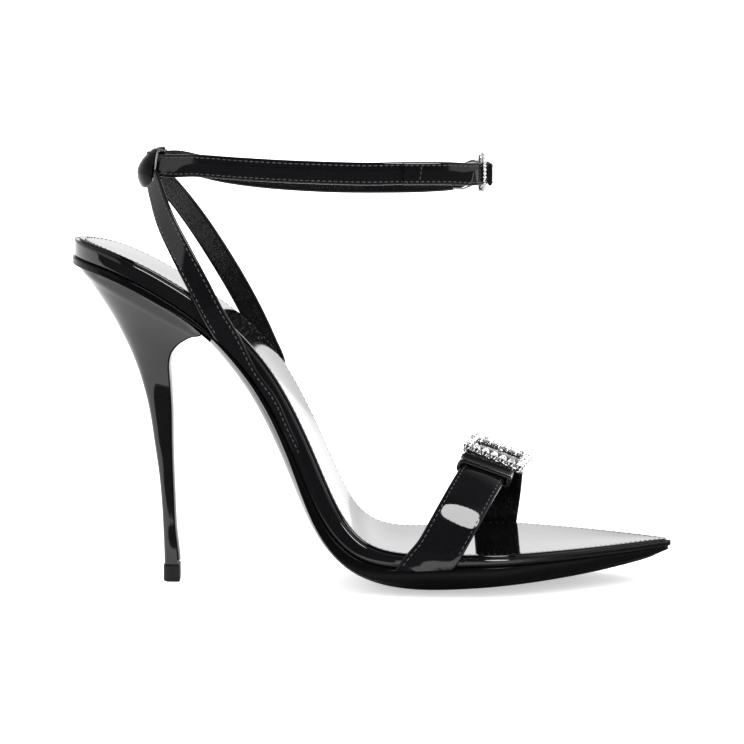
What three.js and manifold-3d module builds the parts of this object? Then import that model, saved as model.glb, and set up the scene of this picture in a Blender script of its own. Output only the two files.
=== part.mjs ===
// Strappy heeled sandal, right shoe: a pointed open sole on a stiletto heel, a buckled toe strap,
// two heel straps that rise to a loop behind the ankle, and an ankle strap threaded through it.
// Millimetres, +Z up, toe along +X, lateral side along -Y, floor at z = 0.
import * as THREE from "three";
import { mergeVertices } from "three/addons/utils/BufferGeometryUtils.js";
import Module from "manifold-3d";

const wasm = await Module();
wasm.setup();

// Driving dimensions of the sole
const soleLength = 204.2;
const ballWidth = 75;
const seatWidth = 51;
const seatHeight = 118.7;
const forefootHeight = 14.1;
const heelRound = 24;
const tipRound = 2.6;
const archTwist = 0.045;
const uprightEnd = 0.3;

// Layers of the sole
const wallHeight = 6.6;
const edgeHeight = 4.4;
const ledgeWidth = 1.2;
const backLedge = 0.65 * ledgeWidth;
const tipSetback = 0.9;
const rimRadius = 1.3;
const sockThickness = 0.9;
const sockLevel = 0.35;
const sockInset = 1.9;
const sockDish = 0.4;
const seamGap = 0.3;
const treadCut = 0.5;
const bellyPower = 3.4;
const strapEase = 0.25;
const cutReach = 7.5 * ledgeWidth;
const cutDepth = 9 * edgeHeight;

// Heel
const liftHeight = 5.8;
const liftDepth = 5.7;
const liftProud = 0.25;
const liftWidth = 9.8;
const stemDepth = 5;
const heelPitch = 29.7;
const heelInset = 1.1;
const breastThickness = 0.8;

// Straps
const strapThickness = 1.4;
const heelStrapWidth = 7.8;
const ankleStrapWidth = 7.7;
const toeStrapWidth = 15.5;
const loopRadius = 12;
const loopWall = 1.2;
const loopHeight = 13;
const loopTop = 148.8;
const loopSetback = 22.7;
const loopHalfAngle = 54;
const slotHalfAngle = 78;
const slotRound = 0.05;
const loopLean = 0.25;
const loopRound = 1.1;
const loopTuck = 2.4;

// Ankle strap loop
const ankleReach = 118;
const ankleHalfWidth = 20;
const ankleSlope = 5.4;

// Toe strap arch
const toeArchHeight = 32;

// Buckles
const toeBuckleWidth = 23;
const toeBuckleBend = 60;
const toeBuckleThickness = 1.9;
const toeBuckleRim = 2.5;
const toeStoneSize = 2.8;
const ankleBuckleHeight = 12.6;
const ankleBuckleWidth = 12;
const ankleBuckleRim = 1.6;
const ankleStoneSize = 1.6;
const buckleThickness = 1.4;
const pinDiameter = 1.1;
const keeperWidth = 6.6;
const keeperEase = 0.15;
const keeperThickness = 1;

const seatHalf = seatWidth / 2;
const ballHalf = ballWidth / 2;
const degree = Math.PI / 180;

// Materials
function leather(color, roughness) {
  return new THREE.MeshStandardMaterial({ color, roughness, metalness: 0 });
}
const patent = leather(0x0b0b0c, 0.12);
const satinSole = leather(0x161616, 0.42);
const mattLift = leather(0x1c1c1c, 0.6);
const silver = new THREE.MeshStandardMaterial({ color: 0xd9d9dc, roughness: 0.2, metalness: 1 });

// Smooth column of a table whose first column is the place along the piece
function column(rows, index) {
  const at = rows.map((row) => row[0]);
  const value = rows.map((row) => row[index]);
  const last = rows.length - 1;
  const slope = value.map((v, i) => {
    if (i === 0 || i === last) return 0;
    const before = (v - value[i - 1]) / (at[i] - at[i - 1]);
    const after = (value[i + 1] - v) / (at[i + 1] - at[i]);
    return before * after <= 0 ? 0 : (2 * before * after) / (before + after);
  });
  return (place) => {
    const x = Math.min(Math.max(place, at[0]), at[last]);
    let i = 0;
    while (i < last - 1 && x > at[i + 1]) i += 1;
    const h = at[i + 1] - at[i];
    const t = (x - at[i]) / h;
    const bend = t * t * (3 - 2 * t);
    const leave = t * (1 - t) * (1 - t) * h * slope[i];
    const arrive = t * t * (t - 1) * h * slope[i + 1];
    return value[i] * (1 - bend) + value[i + 1] * bend + leave + arrive;
  };
}

// Profile of the rim in side view: share of the length, share of the drop from seat to forefoot
const profileRows = [
  [0.0, 1.0],
  [0.06, 0.967],
  [0.12, 0.917],
  [0.172, 0.859],
  [0.225, 0.79],
  [0.28, 0.702],
  [0.327, 0.6],
  [0.362, 0.492],
  [0.396, 0.358],
  [0.429, 0.21],
  [0.447, 0.136],
  [0.466, 0.078],
  [0.49, 0.034],
  [0.522, 0.01],
  [0.56, 0.001],
  [0.65, 0.0],
  [0.75, 0.0],
  [0.88, 0.0],
  [1.0, 0.0],
];

// Half widths of the wall: share of the length, lateral, medial
const outlineRows = [
  [0.0, 0.9 * seatHalf, 0.98 * seatHalf],
  [0.06, 0.93 * seatHalf, 1.03 * seatHalf],
  [0.13, 0.95 * seatHalf, 1.05 * seatHalf],
  [0.21, 0.95 * seatHalf, 1.03 * seatHalf],
  [0.28, 0.95 * seatHalf, 0.97 * seatHalf],
  [0.35, 0.67 * ballHalf, 0.635 * ballHalf],
  [0.425, 0.735 * ballHalf, 0.65 * ballHalf],
  [0.5, 0.86 * ballHalf, 0.72 * ballHalf],
  [0.56, 0.95 * ballHalf, 0.805 * ballHalf],
  [0.62, 0.995 * ballHalf, 0.905 * ballHalf],
  [0.685, ballHalf, 0.99 * ballHalf],
  [0.735, 0.945 * ballHalf, 0.995 * ballHalf],
  [0.79, 0.8 * ballHalf, 0.86 * ballHalf],
  [0.84, 0.645 * ballHalf, 0.72 * ballHalf],
  [0.89, 0.47 * ballHalf, 0.545 * ballHalf],
  [0.93, 0.315 * ballHalf, 0.385 * ballHalf],
  [0.965, 0.175 * ballHalf, 0.235 * ballHalf],
  [1.0, 0.04 * ballHalf, 0.09 * ballHalf],
];

// Layers: share of the length, wall height, outsole edge, belly below the edge, ledge past the wall, twist
const wallAtBall = 0.56 * wallHeight;
const bellyDepth = forefootHeight - wallAtBall - seamGap - edgeHeight + treadCut;
const layerRows = [
  [0.0, wallHeight, 0.54 * edgeHeight, 0, backLedge, -0.4 * archTwist],
  [0.2, 0.93 * wallHeight, 0.64 * edgeHeight, 0.03 * bellyDepth, 0.75 * ledgeWidth, -0.4 * archTwist],
  [0.33, wallHeight, 0.82 * edgeHeight, 0.12 * bellyDepth, ledgeWidth, 0.8 * archTwist],
  [0.43, wallHeight, 0.9 * edgeHeight, 0.14 * bellyDepth, ledgeWidth, archTwist],
  [0.48, 0.88 * wallHeight, 0.96 * edgeHeight, 0.3 * bellyDepth, ledgeWidth, 0.6 * archTwist],
  [0.52, 0.76 * wallHeight, edgeHeight, 0.62 * bellyDepth, ledgeWidth, 0.2 * archTwist],
  [0.58, 0.64 * wallHeight, edgeHeight, 0.92 * bellyDepth, ledgeWidth, 0],
  [0.64, 0.56 * wallHeight, edgeHeight, bellyDepth, ledgeWidth, 0],
  [0.72, 0.5 * wallHeight, 0.95 * edgeHeight, 0.92 * bellyDepth, 0.9 * ledgeWidth, 0],
  [0.8, 0.46 * wallHeight, 0.86 * edgeHeight, 0.77 * bellyDepth, 0.6 * ledgeWidth, 0],
  [0.88, 0.42 * wallHeight, 0.72 * edgeHeight, 0.54 * bellyDepth, 0.2 * ledgeWidth, 0],
  [0.95, 0.37 * wallHeight, 0.54 * edgeHeight, 0.28 * bellyDepth, -0.3 * tipSetback, 0],
  [1.0, 0.32 * wallHeight, 0.4 * edgeHeight, 0.06 * bellyDepth, -tipSetback, 0],
];

const backX = (strapThickness - soleLength) / 2;
const heelDrop = seatHeight - forefootHeight;
const profilePoints = profileRows.map(([along, rise]) => {
  return new THREE.Vector3(backX + along * soleLength, 0, forefootHeight + rise * heelDrop);
});
const profile = new THREE.CatmullRomCurve3(profilePoints, false, "centripetal");
profile.arcLengthDivisions = 800;
const arcLength = profile.getLength();

const lateralTable = column(outlineRows, 1);
const medialTable = column(outlineRows, 2);
const wallTable = column(layerRows, 1);
const edgeTable = column(layerRows, 2);
const bellyTable = column(layerRows, 3);
const ledgeTable = column(layerRows, 4);
const twistTable = column(layerRows, 5);

// Place on the rim line at an arc distance from the heel's back, and the layers' up side there,
// which is upright at the heel's back and square to the rim line from the waist on
function rimPlace(s) {
  const u = Math.min(Math.max(s / arcLength, 0), 1);
  const point = profile.getPointAt(u);
  const ahead = profile.getTangentAt(u).normalize();
  point.addScaledVector(ahead, s - u * arcLength);
  const along = (point.x - backX) / soleLength;
  const slope = Math.atan2(ahead.z, ahead.x) * THREE.MathUtils.smoothstep(along, 0, uprightEnd);
  const up = new THREE.Vector3(-Math.sin(slope), 0, Math.cos(slope));
  return { point, up, along };
}

// Quarter-round closing of an end, as a share of the full width
function endRound(distance, radius) {
  if (distance >= radius) return 1;
  const t = Math.max(distance, 0) / radius;
  return Math.sqrt(t * (2 - t));
}

// Half widths at an arc distance, grown outward by an amount all round
function halfWidths(s, grow) {
  const { along } = rimPlace(s);
  const heelEnd = endRound(s + grow, heelRound + grow);
  const tipEnd = endRound(arcLength - s + grow, tipRound + grow);
  const middle = (medialTable(along) - lateralTable(along)) / 2;
  const half = ((medialTable(along) + lateralTable(along)) / 2 + grow) * heelEnd * tipEnd;
  return { lateral: middle - half, medial: middle + half };
}

// Point of the sole stack: arc distance, sideways place, height above the rim line
function solePoint(s, y, n) {
  const { point, up, along } = rimPlace(s);
  return new THREE.Vector3(point.x, y, point.z).addScaledVector(up, n + twistTable(along) * y);
}

// Arc distances of the stations, close together at both rounded ends, the same for every layer
const stationStep = 0.023 * soleLength;
const endSteps = [0.029, 0.083, 0.175, 0.3].map((share) => share * heelRound);
const stepApart = seamGap;
const endSliver = seamGap / 4;
function stations(grow, tipGrow = grow) {
  const first = endSteps[endSteps.length - 1];
  const count = Math.round((arcLength - 2 * first) / stationStep);
  const middle = [];
  for (let i = 1; i < count; i += 1) middle.push(first + ((arcLength - 2 * first) * i) / count);
  const near = endSteps.map((s) => arcLength - s).reverse();
  const start = -grow + endSliver;
  const end = arcLength + tipGrow - endSliver;
  const apart = (s) => s > start + stepApart && s < end - stepApart;
  return [start, ...[...endSteps, ...middle, ...near].filter(apart), end];
}

// Closed mesh through rings of equally many points, each end closed by a fan
function loft(rings) {
  const size = rings[0].length;
  const points = rings.flat();
  const centre = (ring) => ring.reduce((sum, p) => sum.add(p), new THREE.Vector3()).divideScalar(size);
  points.push(centre(rings[0]), centre(rings[rings.length - 1]));
  const index = [];
  for (let i = 0; i < rings.length - 1; i += 1) {
    for (let j = 0; j < size; j += 1) {
      const a = i * size + j;
      const b = i * size + ((j + 1) % size);
      index.push(a, a + size, b, b, a + size, b + size);
    }
  }
  const lastRow = (rings.length - 1) * size;
  for (let j = 0; j < size; j += 1) {
    const next = (j + 1) % size;
    index.push(j, next, points.length - 2, lastRow + next, lastRow + j, points.length - 1);
  }
  return closedMesh(points, index);
}

// Buffer geometry with its faces pointing out
function closedMesh(points, index) {
  let volume = 0;
  for (let i = 0; i < index.length; i += 3) {
    const [a, b, c] = [points[index[i]], points[index[i + 1]], points[index[i + 2]]];
    volume += a.dot(new THREE.Vector3().crossVectors(b, c));
  }
  if (volume < 0) index.reverse();
  const geometry = new THREE.BufferGeometry();
  const flat = new Float32Array(points.length * 3);
  points.forEach((p, i) => p.toArray(flat, i * 3));
  geometry.setAttribute("position", new THREE.BufferAttribute(flat, 3));
  geometry.setIndex(index);
  return geometry;
}

// Boolean joins and cuts on closed geometries
function solid(geometry) {
  const bare = geometry.clone();
  bare.deleteAttribute("normal");
  bare.deleteAttribute("uv");
  const merged = mergeVertices(bare, 1e-4);
  const vertProperties = new Float32Array(merged.attributes.position.array);
  const triVerts = new Uint32Array(merged.index.array);
  return new wasm.Manifold(new wasm.Mesh({ numProp: 3, vertProperties, triVerts }));
}
const sliverVolume = 0.01;
function shell(manifold) {
  const bodies = manifold.decompose().filter((body) => Math.abs(body.volume()) > sliverVolume);
  const mesh = join(...bodies).getMesh();
  const geometry = new THREE.BufferGeometry();
  geometry.setAttribute("position", new THREE.BufferAttribute(new Float32Array(mesh.vertProperties), 3));
  geometry.setIndex(Array.from(mesh.triVerts));
  return geometry;
}
function join(...pieces) {
  return pieces.reduce((sum, piece) => sum.add(piece));
}

// Slab that follows the sole between two heights, used to cut what fits round the sole
function soleSlab(grow, top, bottom) {
  const rings = stations(grow).map((s) => {
    const { lateral, medial } = halfWidths(s, grow);
    const { along } = rimPlace(s);
    const high = top(along);
    const low = bottom(along);
    const across = [0, 0.25, 0.5, 0.75, 1].map((t) => lateral + t * (medial - lateral));
    return [
      ...across.map((y) => solePoint(s, y, high)),
      ...across.reverse().map((y) => solePoint(s, y, low)),
    ];
  });
  return loft(rings);
}

// Insole: the board and its wrapped wall, with a rounded rim
function insoleGeometry() {
  const top = sockLevel - sockThickness - seamGap;
  const rings = stations(0).map((s) => {
    const { lateral, medial } = halfWidths(s, 0);
    const low = -wallTable(rimPlace(s).along);
    const radius = Math.min(rimRadius, (medial - lateral) / 4);
    const rim = (edge, side) =>
      [0, 30, 60, 90].map((a) => {
        const y = edge - side * radius * (1 - Math.cos(a * degree));
        return solePoint(s, y, top - radius * (1 - Math.sin(a * degree)));
      });
    const share = (t) => lateral + t * (medial - lateral);
    return [
      solePoint(s, medial, low),
      ...rim(medial, 1),
      solePoint(s, share(0.7), top),
      solePoint(s, share(0.5), top),
      solePoint(s, share(0.3), top),
      ...rim(lateral, -1).reverse(),
      solePoint(s, lateral, low),
      solePoint(s, share(0.3), low),
      solePoint(s, share(0.7), low),
    ];
  });
  return loft(rings);
}

// Sock lining: the stitched sheet on top, a little dished across
function sockGeometry() {
  const rings = stations(-sockInset).map((s) => {
    const { lateral, medial } = halfWidths(s, -sockInset);
    const low = sockLevel - sockThickness;
    const lip = low + 0.5 * sockThickness;
    const dish = (t) => sockLevel - sockDish * Math.sin(Math.PI * t);
    const share = (t) => lateral + t * (medial - lateral);
    const across = [0, 0.08, 0.3, 0.5, 0.7, 0.92, 1];
    return [
      ...across.map((t) => solePoint(s, share(t), t === 0 || t === 1 ? lip : dish(t))),
      solePoint(s, share(0.97), low),
      solePoint(s, share(0.5), low),
      solePoint(s, share(0.03), low),
    ];
  });
  return loft(rings);
}

// Outsole: a ledge under the wall, an upright edge and a rounded belly with a flat tread; at the
// waist the edge rolls over into the underside
const rollFrom = 0.4;
function edgeRoll(along, t) {
  const { smoothstep } = THREE.MathUtils;
  const waist = smoothstep(along, 0.21, 0.3) * (1 - smoothstep(along, 0.36, 0.52));
  const out = Math.max(Math.abs(t) - rollFrom, 0) / (1 - rollFrom);
  return 0.75 * edgeTable(along) * waist * out * out;
}
function outsoleGeometry() {
  const rings = stations(backLedge, -tipSetback).map((s) => {
    const { along } = rimPlace(s);
    const ledge = ledgeTable(along);
    const { lateral, medial } = halfWidths(s, ledge);
    const top = -wallTable(along) - seamGap;
    const low = top - edgeTable(along);
    const belly = bellyTable(along);
    const middle = (lateral + medial) / 2;
    const half = (medial - lateral) / 2;
    const round = Math.min(strapThickness / 2, half / 3);
    const lip = low + Math.max(0.3 * edgeTable(along), edgeRoll(along, 1));
    const under = [0.96, 0.84, 0.66, 0.44, 0.2, 0, -0.2, -0.44, -0.66, -0.84, -0.96].map((t) => {
      const n = low + edgeRoll(along, t) - belly * (1 - Math.abs(t) ** bellyPower);
      const p = solePoint(s, middle + t * half, n);
      p.z = Math.max(p.z, 0);
      return p;
    });
    return [
      solePoint(s, middle, top),
      solePoint(s, medial - round, top),
      solePoint(s, medial, top - round),
      solePoint(s, medial, lip),
      ...under,
      solePoint(s, lateral, lip),
      solePoint(s, lateral, top - round),
      solePoint(s, lateral + round, top),
    ];
  });
  return loft(rings);
}

// Everything from the groove down past the outsole, which trims straps that end in the groove,
// the space of the insole and sock lining, and the space of the outsole and all above it
const underWall = (along) => -wallTable(along);
const intoOutsole = (along) => underWall(along) - edgeTable(along) / 2;
const underOutsole = (along) => underWall(along) - edgeTable(along) - bellyTable(along) - 2 * seamGap;
const grooveCut = solid(soleSlab(cutReach, underWall, () => -cutDepth));
const insoleCut = solid(soleSlab(seamGap, () => sockThickness, intoOutsole));
const outsoleCut = solid(soleSlab(2 * ledgeWidth, () => cutDepth, underOutsole));

// Heel: share of the height from lift to seat, back edge as share of the pitch, depth, half width
const seatUnderside = seatHeight - wallHeight - seamGap - 0.54 * edgeHeight;
const heelRise = seatUnderside - liftHeight - seamGap;
const heelRows = [
  [0.0, 1.0, 1.14 * stemDepth, 0.49 * liftWidth],
  [0.14, 0.985, 0.98 * stemDepth, 0.444 * liftWidth],
  [0.27, 0.955, 1.06 * stemDepth, 0.454 * liftWidth],
  [0.4, 0.897, 1.34 * stemDepth, 0.515 * liftWidth],
  [0.52, 0.835, 1.7 * stemDepth, 0.607 * liftWidth],
  [0.63, 0.735, 2.22 * stemDepth, 0.294 * seatHalf],
  [0.7, 0.645, 2.7 * stemDepth, 0.373 * seatHalf],
  [0.77, 0.53, 0.345 * seatWidth, 0.482 * seatHalf],
  [0.83, 0.42, 0.445 * seatWidth, 0.576 * seatHalf],
  [0.89, 0.29, 0.57 * seatWidth, 0.68 * seatHalf],
  [0.95, 0.15, 0.71 * seatWidth, 0.79 * seatHalf],
  [1.0, 0.03, 0.85 * seatWidth, 0.886 * seatHalf],
  [1.08, 0.0, 0.93 * seatWidth, 0.965 * seatHalf],
];
const heelBack = column(heelRows, 1);
const heelDepth = column(heelRows, 2);
const heelHalf = column(heelRows, 3);
const seatSlope = 0.52;
const seatMiddle = 0.05 * seatHalf;

// Back, front, half width and middle of the heel at a share of its height, and how far it slants
function heelSection(share) {
  const back = backX - backLedge + heelInset + heelBack(share) * heelPitch;
  const spread = THREE.MathUtils.smoothstep(share, 0.45, 1);
  const slant = seatSlope * THREE.MathUtils.smoothstep(share, 0.3, 1);
  const z = liftHeight + seamGap + share * heelRise;
  const front = back + heelDepth(share) - seamGap - breastThickness;
  return { back, front, half: heelHalf(share), middle: seatMiddle * spread, slant, z };
}
function heelPoint(section, x, y) {
  return new THREE.Vector3(x, section.middle + y, section.z - section.slant * (x - section.back));
}

// Half of a rounded U in plan: shares forward and sideways, from the lateral corner round to the medial
const roundness = 0.7;
const roundSteps = 16;
function backRound(steps) {
  const list = [];
  for (let i = 0; i <= steps; i += 1) {
    const a = (-90 + (180 * i) / steps) * degree;
    const wide = Math.sign(Math.sin(a)) * Math.abs(Math.sin(a)) ** roundness;
    list.push([Math.abs(Math.cos(a)) ** roundness, wide]);
  }
  return list;
}
function heelGeometry() {
  const rings = [];
  const steps = 22;
  for (let i = 0; i <= steps; i += 1) {
    const section = heelSection((1.08 * i) / steps);
    const { back, front, half } = section;
    const ring = backRound(roundSteps).map(([deep, wide]) => {
      return heelPoint(section, front - (front - back) * deep, half * wide);
    });
    ring.push(heelPoint(section, front, 0.4 * half), heelPoint(section, front, -0.4 * half));
    rings.push(ring);
  }
  return shell(solid(loft(rings)).subtract(outsoleCut));
}

// Breast cover: the outsole's thin leather carried down the front of the heel
function breastGeometry() {
  const rings = [];
  const steps = 18;
  for (let i = 0; i <= steps; i += 1) {
    const section = heelSection(0.015 + (1.03 * i) / steps);
    const near = section.front + seamGap;
    const far = near + breastThickness;
    const side = 0.86 * section.half;
    rings.push([
      heelPoint(section, near, -side),
      heelPoint(section, far, -0.94 * side),
      heelPoint(section, far, 0.94 * side),
      heelPoint(section, near, side),
    ]);
  }
  return shell(solid(loft(rings)).subtract(outsoleCut));
}

// Top lift: the small D-shaped tread under the stem
function liftGeometry() {
  const { back } = heelSection(0);
  const ring = (z, inset) => {
    return backRound(roundSteps).map(([deep, wide]) => {
      const x = back - liftProud + liftDepth - inset - (liftDepth - 2 * inset) * deep;
      return new THREE.Vector3(x, (liftWidth / 2 - inset) * wide, z);
    });
  };
  return loft([ring(0, 0.35), ring(0.4, 0), ring(liftHeight, 0)]);
}

// Flat band along a curve; faces holds the outward direction at each point of the route
function band(route, faces, width, thickness, steps) {
  const curve = new THREE.CatmullRomCurve3(route, false, "centripetal");
  const faceCurve = new THREE.CatmullRomCurve3(faces, false, "centripetal");
  const corner = 0.3 * thickness;
  const outline = [
    [-width / 2, -thickness / 2 + corner],
    [-width / 2 + corner, -thickness / 2],
    [width / 2 - corner, -thickness / 2],
    [width / 2, -thickness / 2 + corner],
    [width / 2, thickness / 2 - corner],
    [width / 2 - corner, thickness / 2],
    [-width / 2 + corner, thickness / 2],
    [-width / 2, thickness / 2 - corner],
  ];
  const rings = [];
  for (let i = 0; i <= steps; i += 1) {
    const t = i / steps;
    const point = curve.getPoint(t);
    const ahead = curve.getTangent(t).normalize();
    const side = new THREE.Vector3().crossVectors(ahead, faceCurve.getPoint(t)).normalize();
    const out = new THREE.Vector3().crossVectors(side, ahead).normalize();
    rings.push(outline.map(([a, b]) => point.clone().addScaledVector(side, a).addScaledVector(out, b)));
  }
  return loft(rings);
}

// Loop behind the ankle
const loopBackX = backX + loopSetback;
const loopCentreX = loopBackX + loopRadius;
const loopBottom = loopTop - loopHeight;
const slotTop = loopTop - loopWall;
const slotBottom = slotTop - ankleStrapWidth - 2 * seamGap;
const slotOuter = loopRadius - loopWall;
const slotInner = slotOuter - strapThickness - 2 * seamGap;

// Arc-shaped bar round the back of the ankle between two radii and two heights, leaning in at the top
const ankleZ = (slotTop + slotBottom) / 2;
const arcSteps = 12;
function backArc({ outer, inner, high, low }, halfAngle, round, tuck) {
  const rings = [];
  const soft = 0.3 * round;
  for (let i = 0; i <= arcSteps; i += 1) {
    const a = (-halfAngle + (2 * halfAngle * i) / arcSteps) * degree;
    const at = (r, z) => {
      const leaning = r - loopLean * (z - ankleZ);
      return new THREE.Vector3(loopCentreX - leaning * Math.cos(a), -leaning * Math.sin(a), z);
    };
    rings.push([
      at(outer - tuck, low),
      at(outer - 0.25 * tuck, low + 0.75 * tuck),
      at(outer, low + 1.5 * tuck),
      at(outer, high - round),
      at(outer - soft, high - soft),
      at(outer - round, high),
      at(inner, high),
      at(inner, low),
    ]);
  }
  return loft(rings);
}

// Heel straps, from the groove up to the loop: share of the climb, share of the way back,
// share of the way in from the wall to the loop's side, turn of the face towards the back
const lateralFoot = { along: 0.361, height: 0.355 };
const lateralStrapRows = [
  [-0.18, -0.15, 0.0, 0],
  [-0.08, -0.07, 0.0, 0],
  [0.0, 0.0, 0.0, 0],
  [0.08, 0.075, 0.0, 0],
  [0.18, 0.165, 0.0, 0],
  [0.28, 0.305, 0.0, 0],
  [0.41, 0.435, 0.0, 0],
  [0.51, 0.55, -0.02, 2],
  [0.61, 0.65, 0.04, 8],
  [0.73, 0.775, 0.16, 18],
  [0.85, 0.895, 0.4, 32],
  [0.955, 0.97, 0.8, 46],
  [1.0, 1.0, 1.0, 54],
];
const medialFoot = { along: 0.337, height: 0.41 };
const medialStrapRows = [
  [-0.12, -0.02, 0.0, 0],
  [0.0, 0.0, 0.0, 0],
  [0.1, 0.012, 0.0, 0],
  [0.2, 0.036, 0.0, 0],
  [0.27, 0.095, 0.0, 0],
  [0.363, 0.178, 0.0, 0],
  [0.464, 0.28, 0.0, 2],
  [0.6, 0.433, 0.06, 8],
  [0.79, 0.666, 0.36, 26],
  [0.94, 0.88, 0.8, 44],
  [1.0, 1.0, 1.0, 54],
];
const strapSideAngle = 46;
const strapOverlap = 0.36 * strapThickness;
const heelStrapSteps = 28;
function heelStrap(side, rows, foot, half) {
  const footX = backX + foot.along * soleLength;
  const footZ = foot.height * loopBottom;
  const topZ = slotBottom + strapOverlap;
  const topRadius = loopRadius - strapThickness / 2;
  const topX = loopCentreX - topRadius * Math.cos(strapSideAngle * degree);
  const topY = topRadius * Math.sin(strapSideAngle * degree);
  const wallY = half + seamGap + strapThickness / 2 + strapEase;
  const route = rows.map(([climb, back, inward]) => {
    const y = wallY + inward * (topY - wallY);
    return new THREE.Vector3(footX + back * (topX - footX), side * y, footZ + climb * (topZ - footZ));
  });
  const faces = rows.map(([, , , turn]) => {
    return new THREE.Vector3(-Math.sin(turn * degree), side * Math.cos(turn * degree), 0);
  });
  return solid(band(route, faces, heelStrapWidth, strapThickness, heelStrapSteps));
}
function heelStrapsGeometry() {
  const lateral = heelStrap(-1, lateralStrapRows, lateralFoot, lateralTable(0.32));
  const medial = heelStrap(1, medialStrapRows, medialFoot, medialTable(0.3));
  const outside = { outer: loopRadius, inner: slotInner - loopWall, high: loopTop, low: loopBottom };
  const inside = { outer: slotOuter, inner: slotInner, high: slotTop, low: slotBottom };
  const tunnel = solid(backArc(outside, loopHalfAngle, loopRound, loopTuck));
  const slot = solid(backArc(inside, slotHalfAngle, slotRound, slotRound));
  const body = join(lateral, medial, tunnel).subtract(slot).subtract(grooveCut).subtract(insoleCut);
  return shell(body);
}

// Ankle strap: forward share of the reach, sideways share of the half width, drop as share of the
// slope, turn of its outer face in degrees from the lateral side; the lateral side and then the medial
const ankleBackX = loopCentreX - slotOuter + seamGap + strapThickness / 2;
const ankleBend = slotOuter - seamGap - strapThickness / 2;
const barX = ankleBackX + 0.959 * ankleReach;
const barY = -(ankleBuckleWidth - ankleBuckleRim) / 2;
const barZ = ankleZ - 0.55 * ankleSlope;
const lateralRows = [
  [0.918, -0.57, 0.5, 40],
  [0.865, -0.72, 0.4, 24],
  [0.735, -0.915, 0.34, 10],
  [0.64, -0.98, 0.36, 5],
  [0.528, -1.0, 0.3, 0],
  [0.393, -0.965, 0.2, -5],
  [0.258, -0.85, 0.06, -12],
  [0.14, -0.66, -0.06, -20],
  [0.085, -0.535, 0.0, -25],
];
const medialRows = [
  [0.085, 0.535, 0.02, -155],
  [0.14, 0.66, 0.3, -160],
  [0.224, 0.8, 0.77, -167],
  [0.35, 0.955, 1.18, -174],
  [0.525, 1.0, 1.43, -180],
  [0.698, 0.965, 1.45, -186],
  [0.808, 0.855, 1.36, -194],
  [0.885, 0.66, 1.15, -210],
];
function ankleRowPoint([forward, out, drop]) {
  const x = ankleBackX + forward * ankleReach;
  return new THREE.Vector3(x, out * ankleHalfWidth, ankleZ - drop * ankleSlope);
}
function planFace(turn) {
  return new THREE.Vector3(Math.sin(turn * degree), -Math.cos(turn * degree), 0);
}

// Round the back of the loop, from the lateral to the medial side
const bendAngles = [-62, -40, -20, 0, 20, 40, 62];
function bendPoint(angle) {
  const a = angle * degree;
  return new THREE.Vector3(loopCentreX - ankleBend * Math.cos(a), ankleBend * Math.sin(a), ankleZ);
}

// The folded end round the buckle's bar, as a half ring between its inner and its outer side
const foldRadius = ankleBuckleRim / 2 + seamGap + strapThickness / 2;
const foldTurn = 43;
const foldRows = 3;
const foldOverlap = seamGap;
const ankleStrapSteps = 86;
const foldSteps = 22;
function foldPoint(turn) {
  const face = planFace(foldTurn + turn);
  return new THREE.Vector3(barX, barY, barZ).addScaledVector(face, foldRadius);
}

// The free end, from behind the frame through its window and over the fold: ahead of the bar,
// sideways from the bar, turn of its face
const tipRows = [
  [-0.175 * ankleBuckleWidth, 0.95 * ankleBuckleWidth, -222],
  [-0.167 * ankleBuckleWidth, 0.8 * ankleBuckleWidth, -237],
  [0.05 * ankleBuckleWidth, 0.533 * ankleBuckleWidth, -234],
  [0.258 * ankleBuckleWidth, 0.25 * ankleBuckleWidth, -240],
  [0.305 * ankleBuckleWidth, 0.017 * ankleBuckleWidth, -268],
  [0.27 * ankleBuckleWidth, -0.35 * ankleBuckleWidth, -280],
];

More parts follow.
